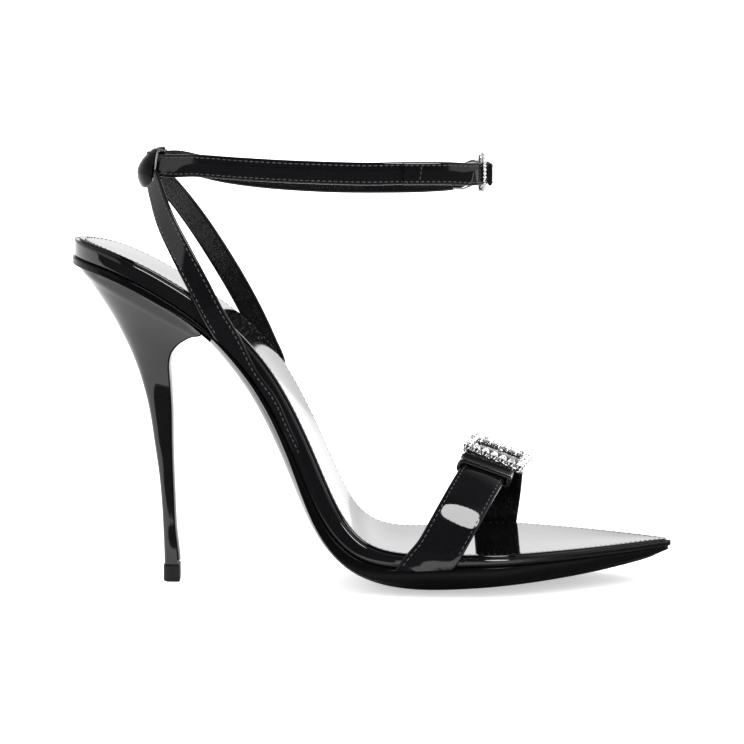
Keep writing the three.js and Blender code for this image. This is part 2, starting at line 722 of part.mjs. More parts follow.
// The ankle buckle's pin, from beside the fold over the frame's far bar; grown for the hole in the strap
const pinFrom = new THREE.Vector3(barX + 0.125 * ankleBuckleWidth, barY + 0.27 * ankleBuckleWidth, barZ);
const pinTo = new THREE.Vector3(barX + 0.2 * ankleBuckleWidth, barY + 0.91 * ankleBuckleWidth, barZ);
function pinRod(diameter, longer) {
  const axis = new THREE.Vector3().subVectors(pinTo, pinFrom);
  const rod = new THREE.CylinderGeometry(diameter / 2, diameter / 2, axis.length() + 2 * longer, 8);
  const upright = new THREE.Vector3(0, 1, 0);
  const turn = new THREE.Quaternion().setFromUnitVectors(upright, axis.clone().normalize());
  const middle = new THREE.Vector3().addVectors(pinFrom, pinTo).multiplyScalar(0.5);
  return rod.applyQuaternion(turn).translate(middle.x, middle.y, middle.z);
}
function ankleStrapGeometry() {
  const lateral = lateralRows.map(ankleRowPoint);
  const faces = lateralRows.map((row) => planFace(row[3]));
  const inner = [foldPoint(180), ...lateral];
  const innerFaces = [planFace(foldTurn), ...faces];
  const route = [...inner, ...bendAngles.map(bendPoint), ...medialRows.map(ankleRowPoint)];
  const routeFaces = [
    ...innerFaces,
    ...bendAngles.map((angle) => planFace(-90 - angle).setZ(loopLean)),
    ...medialRows.map((row) => planFace(row[3])),
  ];
  tipRows.forEach(([ahead, side, turn]) => {
    route.push(new THREE.Vector3(barX + ahead, barY + side, barZ));
    routeFaces.push(planFace(turn));
  });
  const strap = solid(band(route, routeFaces, ankleStrapWidth, strapThickness, ankleStrapSteps));
  const lift = strapThickness - foldOverlap;
  const outer = lateral.slice(0, foldRows).map((p, i) => p.clone().addScaledVector(faces[i], lift));
  const outerFaces = faces.slice(0, foldRows).reverse();
  const turns = [0, 36, 72, 108, 144, 180];
  const foldRoute = [...outer.reverse(), ...turns.map(foldPoint), inner[1]];
  const bendFaces = turns.map((turn) => planFace(foldTurn + turn));
  const foldFaces = [...outerFaces, ...bendFaces, planFace(foldTurn + 180)];
  const fold = solid(band(foldRoute, foldFaces, ankleStrapWidth, strapThickness, foldSteps));
  return shell(join(strap, fold).subtract(solid(pinRod(pinDiameter + 2 * seamGap, seamGap))));
}

// Directions of a flat band at a share of its route: ahead along it, across it and out of its face
function bandBasis(route, faces, t) {
  const point = new THREE.CatmullRomCurve3(route, false, "centripetal").getPoint(t);
  const ahead = new THREE.CatmullRomCurve3(route, false, "centripetal").getTangent(t).normalize();
  const face = new THREE.CatmullRomCurve3(faces, false, "centripetal").getPoint(t);
  const across = new THREE.Vector3().crossVectors(ahead, face).normalize();
  const out = new THREE.Vector3().crossVectors(across, ahead).normalize();
  return { point, ahead, across, out };
}

// Toe strap: share of the length, sideways share of the ball's half width, height as share of the arch,
// turn of its face from the lateral side up and over, and its lean towards the toe
const toeStrapRows = [
  [0.552, -1, -0.28, 0, 0],
  [0.568, -1, -0.13, 0, 0],
  [0.583, -1, 0.0, 0, 0],
  [0.604, -0.995, 0.165, 1.5, 0],
  [0.626, -0.955, 0.405, 14, 3],
  [0.646, -0.85, 0.615, 33, 7],
  [0.667, -0.655, 0.81, 52, 12],
  [0.687, -0.37, 0.945, 70, 17],
  [0.704, -0.05, 1.0, 84, 20],
  [0.713, 0.22, 0.99, 97, 20],
  [0.718, 0.5, 0.885, 117, 18],
  [0.717, 0.73, 0.69, 139, 12],
  [0.714, 0.9, 0.43, 160, 6],
  [0.709, 0.985, 0.165, 176, 0],
  [0.706, 1, 0.0, 180, 0],
  [0.704, 1, -0.11, 180, 0],
];
const crownShare = 8.16 / 15;
const grooveAtBall = forefootHeight - wallAtBall;
const strapOut = ballHalf + seamGap + strapThickness / 2 + strapEase;
const toeStrapSteps = 44;
const toeRoute = toeStrapRows.map(([along, out, climb]) => {
  const z = grooveAtBall + climb * toeArchHeight;
  return new THREE.Vector3(backX + along * soleLength, out * strapOut, z);
});
const toeFaces = toeStrapRows.map(([, , , turn, lean]) => {
  const flat = Math.cos(lean * degree);
  const up = flat * Math.sin(turn * degree);
  return new THREE.Vector3(Math.sin(lean * degree), -flat * Math.cos(turn * degree), up);
});
function toeStrapGeometry() {
  const strap = solid(band(toeRoute, toeFaces, toeStrapWidth, strapThickness, toeStrapSteps));
  return shell(strap.subtract(grooveCut).subtract(insoleCut));
}

// Puts a flat geometry drawn in X across, Y ahead and Z out onto a band
function onBand(geometry, { point, ahead, across, out }, lift) {
  const normal = new THREE.Vector3().crossVectors(across, ahead);
  const matrix = new THREE.Matrix4().makeBasis(across, ahead, normal);
  matrix.setPosition(point.clone().addScaledVector(out, lift));
  if (normal.dot(out) < 0) geometry.rotateY(Math.PI);
  return geometry.applyMatrix4(matrix);
}

// Rectangle with cut corners, its sides in steps
function plateOutline(target, length, width, corner, steps) {
  const [a, b] = [length / 2, width / 2];
  const step = (i) => (b - corner) * ((2 * i) / steps - 1);
  target.moveTo(-a + corner, -b);
  target.lineTo(a - corner, -b);
  for (let i = 0; i <= steps; i += 1) target.lineTo(a, step(i));
  target.lineTo(a - corner, b);
  target.lineTo(-a + corner, b);
  for (let i = 0; i <= steps; i += 1) target.lineTo(-a, -step(i));
  target.closePath();
  return target;
}
function ringPlate(length, width, rimX, rimY, depth, steps = 1) {
  const shape = plateOutline(new THREE.Shape(), length, width, 0.35 * rimX, steps);
  const hole = plateOutline(new THREE.Path(), length - 2 * rimX, width - 2 * rimY, 0.1 * rimX, steps);
  shape.holes.push(hole);
  const geometry = new THREE.ExtrudeGeometry(shape, { depth, bevelEnabled: false });
  return geometry.translate(0, 0, -depth / 2);
}

// Bends a flat geometry along Y, so that it follows the strap over the foot
function bent(geometry, radius) {
  const place = geometry.attributes.position;
  for (let i = 0; i < place.count; i += 1) place.setZ(i, place.getZ(i) - place.getY(i) ** 2 / (2 * radius));
  return geometry;
}

// Cut stone standing on a buckle's face, sunk into it a little
const stoneSink = buckleThickness / 14;
function cutStone(size, x, y, thickness) {
  const height = 0.42 * size + 2 * stoneSink;
  const cut = new THREE.CylinderGeometry(0.28 * size, 0.44 * size, height, 6);
  cut.rotateX(Math.PI / 2).translate(x, y, thickness / 2 + height / 2 - 2 * stoneSink);
  return solid(cut);
}

// Buckle frame set with a row of cut stones all round
function buckleFrame(length, width, rim, stone, thickness) {
  let frame = solid(ringPlate(length, width, rim, rim, thickness, 4));
  const place = (x, y) => {
    frame = frame.add(cutStone(stone, x, y, thickness));
  };
  const [runX, runY] = [length - rim, width - rim];
  const countX = Math.max(2, Math.round(runX / stone));
  const countY = Math.max(2, Math.round(runY / stone));
  for (let i = 0; i <= countX; i += 1) {
    const x = -runX / 2 + (runX * i) / countX;
    place(x, -runY / 2);
    place(x, runY / 2);
  }
  for (let i = 1; i < countY; i += 1) {
    const y = -runY / 2 + (runY * i) / countY;
    place(-runX / 2, y);
    place(runX / 2, y);
  }
  return frame;
}

// Toe buckle: its two long bars lie over the strap and its short sides pass beside it
const toeBasis = bandBasis(toeRoute, toeFaces, crownShare);
const toeFrameLift = strapThickness / 2 + seamGap + toeBuckleThickness / 2;
const toeFrameLength = toeStrapWidth + 2 * (toeBuckleRim + 2 * seamGap);
function toeBuckleGeometry() {
  const size = [toeFrameLength, toeBuckleWidth, toeBuckleRim, toeStoneSize, toeBuckleThickness];
  return onBand(bent(shell(buckleFrame(...size)), toeBuckleBend), toeBasis, toeFrameLift);
}
// The pin comes up through the strap near its crown and reaches to the far bar
const toePinFrom = 0.065 * toeBuckleWidth;
function toePinGeometry() {
  const end = toeBuckleWidth / 2 - toeBuckleRim - 2 * seamGap;
  const rod = new THREE.CylinderGeometry(pinDiameter / 2, pinDiameter / 2, end - toePinFrom, 8);
  rod.translate(0, (end + toePinFrom) / 2, 0);
  return onBand(bent(rod, toeBuckleBend), toeBasis, strapThickness / 2 + 2 * seamGap + pinDiameter / 2);
}

// Keeper: a narrow leather ring round the strap beside the buckle
const keeperShare = 6.906 / 15;
function keeperGeometry() {
  const length = toeStrapWidth + 2 * (seamGap + keeperThickness);
  const width = strapThickness + 2 * (seamGap + keeperEase + keeperThickness);
  const ring = ringPlate(length, width, keeperThickness, keeperThickness, keeperWidth);
  ring.rotateX(Math.PI / 2);
  return onBand(ring, bandBasis(toeRoute, toeFaces, keeperShare), 0);
}

// Ankle buckle: upright at the front of the ankle loop, its lateral side the bar in the fold
const ankleFrameCentre = new THREE.Vector3(barX, barY + (ankleBuckleWidth - ankleBuckleRim) / 2, barZ);
function uprightGeometry(geometry) {
  const matrix = new THREE.Matrix4().makeBasis(
    new THREE.Vector3(0, 1, 0),
    new THREE.Vector3(0, 0, 1),
    new THREE.Vector3(1, 0, 0),
  );
  return geometry.applyMatrix4(matrix.setPosition(ankleFrameCentre));
}
function ankleBuckleGeometry() {
  const [width, height] = [ankleBuckleWidth, ankleBuckleHeight];
  let frame = solid(ringPlate(width, height, ankleBuckleRim, ankleBuckleRim, buckleThickness));
  const run = height - ankleBuckleRim;
  const side = (width - ankleBuckleRim) / 2;
  const count = Math.round(run / ankleStoneSize);
  for (let i = 0; i <= count; i += 1) {
    const y = -run / 2 + (run * i) / count;
    for (const x of Math.abs(y) > ankleStrapWidth / 2 + ankleStoneSize / 2 ? [-side, 0, side] : [side]) {
      frame = frame.add(cutStone(ankleStoneSize, x, y, buckleThickness));
    }
  }
  return uprightGeometry(shell(frame));
}

const sandal = new THREE.Group();
function add(name, geometry, material) {
  const mesh = new THREE.Mesh(geometry, material);
  mesh.name = name;
  sandal.add(mesh);
  return mesh;
}
add("outsole", outsoleGeometry(), satinSole);
add("insole", insoleGeometry(), patent);
add("sock_lining", sockGeometry(), patent);
add("heel", heelGeometry(), patent);
add("heel_breast_cover", breastGeometry(), patent);
add("top_lift", liftGeometry(), mattLift);
add("heel_straps", heelStrapsGeometry(), patent);
add("ankle_strap", ankleStrapGeometry(), patent);
add("ankle_buckle", ankleBuckleGeometry(), silver);
add("ankle_buckle_pin", pinRod(pinDiameter, 0), silver);
add("toe_strap", toeStrapGeometry(), patent);
add("toe_buckle", toeBuckleGeometry(), silver);
add("toe_buckle_pin", toePinGeometry(), silver);
add("toe_keeper", keeperGeometry(), patent);


// Centred over the middle of its bounding box, standing on the floor
const bounds = new THREE.Box3().setFromObject(sandal);
const centre = bounds.getCenter(new THREE.Vector3());
for (const mesh of sandal.children) mesh.geometry.translate(-centre.x, -centre.y, -bounds.min.z);

export default sandal;
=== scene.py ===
"""Strappy heeled sandal: fine surfaces, stitches, stones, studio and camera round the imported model."""
import math

import bpy
import numpy as np
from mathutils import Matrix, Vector


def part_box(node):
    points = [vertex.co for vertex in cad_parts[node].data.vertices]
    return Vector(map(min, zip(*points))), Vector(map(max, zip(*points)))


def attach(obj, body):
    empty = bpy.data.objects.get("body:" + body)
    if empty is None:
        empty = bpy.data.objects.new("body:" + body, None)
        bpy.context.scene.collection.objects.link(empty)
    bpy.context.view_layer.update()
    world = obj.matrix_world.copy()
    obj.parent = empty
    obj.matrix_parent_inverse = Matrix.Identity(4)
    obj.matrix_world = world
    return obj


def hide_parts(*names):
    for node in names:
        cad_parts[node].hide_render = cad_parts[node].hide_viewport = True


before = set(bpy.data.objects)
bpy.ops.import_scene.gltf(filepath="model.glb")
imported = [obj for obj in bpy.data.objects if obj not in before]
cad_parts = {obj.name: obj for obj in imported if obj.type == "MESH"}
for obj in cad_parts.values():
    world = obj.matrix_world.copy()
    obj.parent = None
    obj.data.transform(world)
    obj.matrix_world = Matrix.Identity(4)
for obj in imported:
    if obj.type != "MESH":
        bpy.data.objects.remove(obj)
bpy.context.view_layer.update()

# Sizes in millimetres, the same as the solids'
SOLE_LENGTH = 204.2
BALL_HALF = 37.5
SEAT_HALF = 25.5
SEAT_HEIGHT = 118.7
FOREFOOT_HEIGHT = 14.1
HEEL_ROUND = 24
TIP_ROUND = 2.6
ARCH_TWIST = 0.045
UPRIGHT_END = 0.3
WALL = 6.6
EDGE = 4.4
LEDGE = 1.2
BACK_LEDGE = 0.65 * LEDGE
TIP_SETBACK = 0.9
RIM_RADIUS = 1.3
SOCK_THICKNESS = 0.9
SOCK_LEVEL = 0.35
SOCK_INSET = 1.9
SOCK_DISH = 0.4
GAP = 0.3
TREAD_CUT = 0.5
BELLY_POWER = 3.4
LIFT_HEIGHT = 5.8
LIFT_DEPTH = 5.7
LIFT_PROUD = 0.25
LIFT_WIDTH = 9.8
STEM_DEPTH = 5
HEEL_PITCH = 29.7
HEEL_INSET = 1.1
BREAST = 0.8
STRAP = 1.4
HEEL_STRAP_WIDTH = 7.8
ANKLE_WIDTH = 7.7
TOE_WIDTH = 15.5
LOOP_RADIUS = 12
LOOP_WALL = 1.2
LOOP_HEIGHT = 13
LOOP_TOP = 148.8
LOOP_SETBACK = 22.7
LOOP_HALF_ANGLE = 54
LOOP_LEAN = 0.25
ANKLE_REACH = 118
ANKLE_HALF = 20
ANKLE_SLOPE = 5.4
TOE_ARCH = 32
TOE_BUCKLE_WIDTH = 23
TOE_BEND = 60
TOE_THICKNESS = 1.9
TOE_RIM = 2.5
TOE_STONE = 3.1
ANKLE_FRAME_HEIGHT = 12.6
ANKLE_FRAME_WIDTH = 12
ANKLE_RIM = 1.6
ANKLE_STONE = 1.6
FRAME_THICKNESS = 1.4
PIN = 1.1
KEEPER_WIDTH = 6.6
KEEPER_TURN = 8
STITCH = 1.45
DEGREE = math.pi / 180

# Place along the sole and share of the rise to the seat
PROFILE = [
    [0.0, 1.0], [0.06, 0.967], [0.12, 0.917], [0.172, 0.859], [0.225, 0.79], [0.28, 0.702],
    [0.327, 0.6], [0.362, 0.492], [0.396, 0.358], [0.429, 0.21], [0.447, 0.136], [0.466, 0.078],
    [0.49, 0.034], [0.522, 0.01], [0.56, 0.001], [0.65, 0.0], [0.75, 0.0], [0.88, 0.0], [1.0, 0.0],
]
# Place along the sole, lateral and medial half widths as shares of the seat's and the ball's
SEAT_OUTLINE = (
    (0.0, 0.9, 0.98), (0.06, 0.93, 1.03), (0.13, 0.95, 1.05), (0.21, 0.95, 1.03), (0.28, 0.95, 0.97),
)
BALL_OUTLINE = (
    (0.35, 0.67, 0.635), (0.425, 0.735, 0.65), (0.5, 0.86, 0.72), (0.56, 0.95, 0.805),
    (0.62, 0.995, 0.905), (0.685, 1, 0.99), (0.735, 0.945, 0.995), (0.79, 0.8, 0.86), (0.84, 0.645, 0.72),
    (0.89, 0.47, 0.545), (0.93, 0.315, 0.385), (0.965, 0.175, 0.235), (1.0, 0.04, 0.09),
)
OUTLINE = [
    [along, lateral * half, medial * half]
    for rows, half in ((SEAT_OUTLINE, SEAT_HALF), (BALL_OUTLINE, BALL_HALF)) for along, lateral, medial in rows
]
BELLY = FOREFOOT_HEIGHT - 0.56 * WALL - GAP - EDGE + TREAD_CUT
# Place along the sole, then shares of wall, edge and belly, the ledge and the share of the twist
LAYER_SHARES = (
    (0.0, 1, 0.54, 0, BACK_LEDGE, -0.4),
    (0.2, 0.93, 0.64, 0.03, 0.75 * LEDGE, -0.4),
    (0.33, 1, 0.82, 0.12, LEDGE, 0.8),
    (0.43, 1, 0.9, 0.14, LEDGE, 1),
    (0.48, 0.88, 0.96, 0.3, LEDGE, 0.6),
    (0.52, 0.76, 1, 0.62, LEDGE, 0.2),
    (0.58, 0.64, 1, 0.92, LEDGE, 0),
    (0.64, 0.56, 1, 1, LEDGE, 0),
    (0.72, 0.5, 0.95, 0.92, 0.9 * LEDGE, 0),
    (0.8, 0.46, 0.86, 0.77, 0.6 * LEDGE, 0),
    (0.88, 0.42, 0.72, 0.54, 0.2 * LEDGE, 0),
    (0.95, 0.37, 0.54, 0.28, -0.3 * TIP_SETBACK, 0),
    (1.0, 0.32, 0.4, 0.06, -TIP_SETBACK, 0),
)
LAYERS = [
    [along, wall * WALL, edge * EDGE, belly * BELLY, ledge, twist * ARCH_TWIST]
    for along, wall, edge, belly, ledge, twist in LAYER_SHARES
]
# Height share, place of the back, depth and half width
HEEL = [
    [0.0, 1.0, 1.14 * STEM_DEPTH, 0.49 * LIFT_WIDTH],
    [0.14, 0.985, 0.98 * STEM_DEPTH, 0.444 * LIFT_WIDTH],
    [0.27, 0.955, 1.06 * STEM_DEPTH, 0.454 * LIFT_WIDTH],
    [0.4, 0.897, 1.34 * STEM_DEPTH, 0.515 * LIFT_WIDTH],
    [0.52, 0.835, 1.7 * STEM_DEPTH, 0.607 * LIFT_WIDTH],
    [0.63, 0.735, 2.22 * STEM_DEPTH, 0.294 * SEAT_HALF],
    [0.7, 0.645, 2.7 * STEM_DEPTH, 0.373 * SEAT_HALF],
    [0.77, 0.53, 0.345 * 2 * SEAT_HALF, 0.482 * SEAT_HALF],
    [0.83, 0.42, 0.445 * 2 * SEAT_HALF, 0.576 * SEAT_HALF],
    [0.89, 0.29, 0.57 * 2 * SEAT_HALF, 0.68 * SEAT_HALF],
    [0.95, 0.15, 0.71 * 2 * SEAT_HALF, 0.79 * SEAT_HALF],
    [1.0, 0.03, 0.85 * 2 * SEAT_HALF, 0.886 * SEAT_HALF],
    [1.08, 0.0, 0.93 * 2 * SEAT_HALF, 0.965 * SEAT_HALF],
]
BACK_X = -SOLE_LENGTH / 2 + 0.7
HEEL_DROP = SEAT_HEIGHT - FOREFOOT_HEIGHT


# Curves and tables
def column(rows, index):
    at = np.array([row[0] for row in rows], float)
    value = np.array([row[index] for row in rows], float)
    step = np.diff(at)
    rise = np.diff(value) / step
    slope = np.zeros(len(at))
    for i in range(1, len(at) - 1):
        if rise[i - 1] * rise[i] > 0:
            slope[i] = 2 * rise[i - 1] * rise[i] / (rise[i - 1] + rise[i])

    def read(place):
        x = np.clip(place, at[0], at[-1])
        i = np.clip(np.searchsorted(at, x, side="right") - 1, 0, len(at) - 2)
        h = step[i]
        t = (x - at[i]) / h
        bend = t * t * (3 - 2 * t)
        lean = t * (1 - t) ** 2 * h * slope[i] + t * t * (t - 1) * h * slope[i + 1]
        return value[i] * (1 - bend) + value[i + 1] * bend + lean

    return read


class Route:
    """Centripetal curve through points, read at shares from 0 to 1."""

    def __init__(self, points):
        p = np.array(points, float)
        self.points = np.vstack([2 * p[0] - p[1], p, 2 * p[-1] - p[-2]])
        self.count = len(p)

    def at(self, t):
        t = np.clip(np.asarray(t, float), 0, 1) * (self.count - 1)
        i = np.clip(np.floor(t).astype(int), 0, self.count - 2)
        w = (t - i)[:, None]
        a, b, c, d = (self.points[i + k] for k in range(4))
        chords = (b - a, c - b, d - c)
        span = [np.maximum(np.linalg.norm(chord, axis=1), 1e-9)[:, None] ** 0.5 for chord in chords]
        leave = ((b - a) / span[0] - (c - a) / (span[0] + span[1]) + (c - b) / span[1]) * span[1]
        arrive = ((c - b) / span[1] - (d - b) / (span[1] + span[2]) + (d - c) / span[2]) * span[1]
        square = 3 * (c - b) - 2 * leave - arrive
        return b + leave * w + square * w**2 + (2 * (b - c) + leave + arrive) * w**3

    def ahead(self, t):
        t = np.asarray(t, float)
        return unit(self.at(np.minimum(t + 1e-4, 1)) - self.at(np.maximum(t - 1e-4, 0)))


def unit(v):
    return v / np.maximum(np.linalg.norm(v, axis=-1, keepdims=True), 1e-12)


def smoothstep(t):
    t = np.clip(t, 0, 1)
    return t * t * (3 - 2 * t)


def soften(values, sigma):
    """Gaussian smoothing of evenly spaced samples, its ends kept in line."""
    reach = int(3 * sigma)
    weights = np.exp(-0.5 * (np.arange(-reach, reach + 1) / sigma) ** 2)
    weights /= weights.sum()
    first = values[0] - (values[1:reach + 1][::-1] - values[0])
    last = values[-1] - (values[-reach - 1:-1][::-1] - values[-1])
    return np.convolve(np.concatenate([first, values, last]), weights, "valid")


# The rim line, sampled evenly along its length
raw = Route([
    [BACK_X + along * SOLE_LENGTH, 0, FOREFOOT_HEIGHT + rise * HEEL_DROP] for along, rise in PROFILE
])
raw_points = raw.at(np.linspace(0, 1, 4001))
raw_length = np.concatenate([[0], np.cumsum(np.linalg.norm(np.diff(raw_points, axis=0), axis=1))])
ARC = raw_length[-1]
SAMPLE = 0.25
rim_s = np.arange(0, ARC, SAMPLE)
rim_x = soften(np.interp(rim_s, raw_length, raw_points[:, 0]), 2.5 / SAMPLE)
rim_z = soften(np.interp(rim_s, raw_length, raw_points[:, 2]), 2.5 / SAMPLE)
rim_slope = soften(np.arctan2(np.gradient(rim_z, SAMPLE), np.gradient(rim_x, SAMPLE)), 1.5 / SAMPLE)
rim_along = (rim_x - BACK_X) / SOLE_LENGTH
tables = [column(OUTLINE, 1), column(OUTLINE, 2)] + [column(LAYERS, i) for i in range(1, 6)]
smoothed = [soften(table(rim_along), 4 / SAMPLE) for table in tables]


def rim(s):
    s = np.asarray(s, float)
    inside = np.clip(s, 0, rim_s[-1])
    slope = np.interp(inside, rim_s, rim_slope)
    beyond = s - inside
    x = np.interp(inside, rim_s, rim_x) + beyond * np.cos(slope)
    z = np.interp(inside, rim_s, rim_z) + beyond * np.sin(slope)
    tilt = slope * smoothstep((x - BACK_X) / SOLE_LENGTH / UPRIGHT_END)
    return x, z, tilt


def layer(s):
    """Lateral, medial, wall, edge, belly, ledge and twist at an arc distance."""
    return [np.interp(s, rim_s, values) for values in smoothed]


def end_round(distance, radius):
    t = np.clip(distance / radius, 0, 1)
    return np.sqrt(t * (2 - t))


def half_widths(s, grow):
    lateral, medial = layer(s)[:2]
    tip = np.maximum(TIP_ROUND + grow, 0.6)
    ends = end_round(s + grow, HEEL_ROUND + grow) * end_round(ARC - s + grow, tip)
    middle = (medial - lateral) / 2
    half = ((medial + lateral) / 2 + grow) * ends
    return middle - half, middle + half


def sole_point(s, y, n):
    s, y, n = np.broadcast_arrays(s, y, n)
    x, z, tilt = rim(s)
    high = n + layer(s)[6] * y
    return np.stack([x - np.sin(tilt) * high, y, z + np.cos(tilt) * high], axis=-1)


def stations(grow, tip_grow=None, step=1.3):
    tip_grow = grow if tip_grow is None else tip_grow
    first, last = -grow + 0.02, ARC + tip_grow - 0.02
    ends = 9.0 * np.linspace(0, 1, 15) ** 2.2
    count = int((last - first - 18) / step)
    middle = np.linspace(first + 9, last - 9, count)
    return np.concatenate([first + ends[:-1], middle, (last - ends[:-1])[::-1]])


# Meshes: rings of points in millimetres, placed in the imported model's frame
heel_back = column(HEEL, 1)
heel_depth = column(HEEL, 2)
heel_half = column(HEEL, 3)
seat_underside = SEAT_HEIGHT - WALL - GAP - 0.54 * EDGE
heel_rise = seat_underside - LIFT_HEIGHT - GAP
lift_back = BACK_X - BACK_LEDGE + HEEL_INSET + HEEL_PITCH - LIFT_PROUD
low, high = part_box("top_lift")
SHIFT = np.array([lift_back - low[0] * 1000, -(low[1] + high[1]) * 500, 0])


def place(points):
    return (np.asarray(points) - SHIFT) * 0.001


def make(name, points, faces, sharp=40):
    mesh = bpy.data.meshes.new(name)
    mesh.from_pydata(points.tolist(), [], faces)
    mesh.validate()
    mesh.shade_smooth()
    if sharp is not None:
        mesh.set_sharp_from_angle(angle=math.radians(sharp))
    obj = bpy.data.objects.new(name, mesh)
    bpy.context.collection.objects.link(obj)
    return obj


def ring_faces(count, size, start=0, closed=False):
    """Quads between rings of points; closed goes on from the last ring to the first."""
    faces = []
    for i in range(count if closed else count - 1):
        here, after = start + i * size, start + (i + 1) % count * size
        faces += [[here + j, here + (j + 1) % size, after + (j + 1) % size, after + j] for j in range(size)]
    return faces


def loft(name, rings, sharp=40):
    """Closed skin over rings, each end closed by a fan, its faces pointing out."""
    rings = np.asarray(rings, float)
    count, size = rings.shape[:2]
    points = np.concatenate([rings.reshape(-1, 3), rings[[0, -1]].mean(axis=1)])
    i, j = np.meshgrid(np.arange(count - 1), np.arange(size), indexing="ij")
    a, b = i * size + j, i * size + (j + 1) % size
    quads = np.stack([a, a + size, b + size, b], axis=-1).reshape(-1, 4)
    k = np.arange(size)
    start = np.stack([k, (k + 1) % size, np.full(size, len(points) - 2)], axis=1)
    base = (count - 1) * size
    end = np.stack([base + (k + 1) % size, base + k, np.full(size, len(points) - 1)], axis=1)
    corner = points[quads]
    tri = np.concatenate([corner[:, [0, 1, 2]], corner[:, [0, 2, 3]]])
    volume = np.einsum("ij,ij->i", tri[:, 0], np.cross(tri[:, 1], tri[:, 2])).sum()
    faces = quads.tolist() + start.tolist() + end.tolist()
    if volume < 0:
        faces = [face[::-1] for face in faces]
    return make(name, place(points), faces, sharp)


def finish(piece, material, slot, *nodes):
    piece.data.materials.append(material)
    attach(piece, "root")
    if nodes:
        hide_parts(*nodes)
    return piece


# Materials
class Graph:
    """Nodes of a material or of the world, with the few kinds that repeat here."""

    def __init__(self, tree):
        self.nodes, self.links = tree.nodes, tree.links

    def put(self, socket, value):
        if isinstance(value, bpy.types.NodeSocket):
            self.links.new(value, socket)
        else:
            socket.default_value = value

    def fill(self, node, **values):
        """Sets or links inputs by their names, a low line standing for a space."""
        for name, value in values.items():
            self.put(node.inputs[name.replace("_", " ")], value)
        return node

    def new(self, kind, **values):
        return self.fill(self.nodes.new("ShaderNode" + kind), **values)

    def maths(self, kind, *values):
        node = self.new("Math")
        node.operation = kind
        for socket, value in zip(node.inputs, values):
            self.put(socket, value)
        return node.outputs[0]

    def remap(self, value, start, stop, low, high, interpolation="LINEAR"):
        node = self.new("MapRange", Value=value, From_Min=start, From_Max=stop, To_Min=low, To_Max=high)
        node.interpolation_type = interpolation
        return node.outputs["Result"]

    def noise(self, scale, detail=2.0):
        place = self.new("TexCoord").outputs["Object"]
        return self.new("TexNoise", Scale=scale, Detail=detail, Vector=place).outputs["Fac"]

    def patchy(self, scale, detail, low, high):
        return self.remap(self.noise(scale, detail), 0, 1, low, high)

    def bump(self, height, strength, distance, **under):
        node = self.new("Bump", Strength=strength, Distance=distance, Height=height, **under)
        return node.outputs["Normal"]


def new_material(name):
    material = bpy.data.materials.new(name)
    material.use_nodes = True
    graph = Graph(material.node_tree)
    return material, graph, graph.nodes["Principled BSDF"]


def leather(name, colour, rough, waves, grain, grain_scale=1600, specular=0.5):
    """Lacquered leather: soft waves of the hide under the gloss, a finer grain, uneven roughness."""
    material, graph, shader = new_material(name)
    paler = (*[c * 1.6 for c in colour], 1)
    shade = graph.new("MixRGB", Color1=(*colour, 1), Color2=paler, Fac=graph.noise(90))
    wavy = graph.bump(graph.noise(75, 1.0), waves, 0.001)
    graph.fill(
        shader, Base_Color=shade.outputs["Color"], IOR=1.5, Specular_IOR_Level=specular,
        Roughness=graph.patchy(260, 4, rough * 0.7, rough * 1.4),
        Normal=graph.bump(graph.noise(grain_scale, 3.0), grain, 0.0001, Normal=wavy),
    )
    return material


def crackle(material, scale, strength):
    """Adds the net of fine creases of a rolled lining over its grain."""
    graph = Graph(material.node_tree)
    normal = graph.nodes["Principled BSDF"].inputs["Normal"]
    cells = graph.new("TexVoronoi", Scale=scale, Vector=graph.new("TexCoord").outputs["Object"])
    cells.feature = "DISTANCE_TO_EDGE"
    height = graph.remap(cells.outputs["Distance"], 0, 1, 0, 1)
    graph.put(normal, graph.bump(height, strength, 0.0006, Normal=normal.links[0].from_socket))


def metal(name, colour, rough):
    material, graph, shader = new_material(name)
    graph.fill(
        shader, Base_Color=(*colour, 1), Metallic=1, Roughness=graph.patchy(500, 4, rough * 0.6, rough * 1.5),
        Normal=graph.bump(graph.noise(900, 2), 0.06, 0.0001),
    )
    return material


def crystal_material():
    """Foiled stones: each facet gets a tone of its own, a painted sparkle that also shows as a faint painted
    glow, under a clear glossy surface.
    """
    material, graph, shader = new_material("foiled_crystal_painted_glow")
    ramp = graph.new("ValToRGB", Fac=graph.new("NewGeometry").outputs["Random Per Island"])
    ramp.color_ramp.interpolation = "CONSTANT"
    stops = ((0.0, 0.08), (0.14, 0.5), (0.3, 1.0), (0.55, 0.7), (0.7, 1.0), (0.9, 0.25))
    for k, (at, tone) in enumerate(stops):
        stop = ramp.color_ramp.elements[k] if k < 2 else ramp.color_ramp.elements.new(at)
        stop.position, stop.color = at, (tone, tone, tone * 1.01, 1)
    facet_sparkle_tones = ramp.outputs["Color"]
    # The facet tones go into both the base colour and the emission: painted sparkle and a painted glow
    graph.fill(
        shader, Base_Color=facet_sparkle_tones, Metallic=0.45, Emission_Color=facet_sparkle_tones, Emission_Strength=0.3,
        Roughness=graph.patchy(700, 2.0, 0.01, 0.05), Coat_Weight=0.5,
    )
    return material


patent = leather("patent_leather", (0.0032, 0.0032, 0.0036), 0.035, 0.05, 0.03)
patent_insole = leather("patent_insole_leather", (0.002, 0.002, 0.0024), 0.05, 0.02, 0.02)
satin = leather("satin_sole_leather", (0.0018, 0.0018, 0.0018), 0.16, 0.03, 0.12, 2600, 0.08)
lining = leather("lining_leather", (0.002, 0.0019, 0.0018), 0.26, 0.08, 0.25, 1500)
crackle(lining, 1050, 0.42)
matte = leather("matte_lift_rubber", (0.004, 0.004, 0.004), 0.5, 0.02, 0.3, 3000, 0.25)
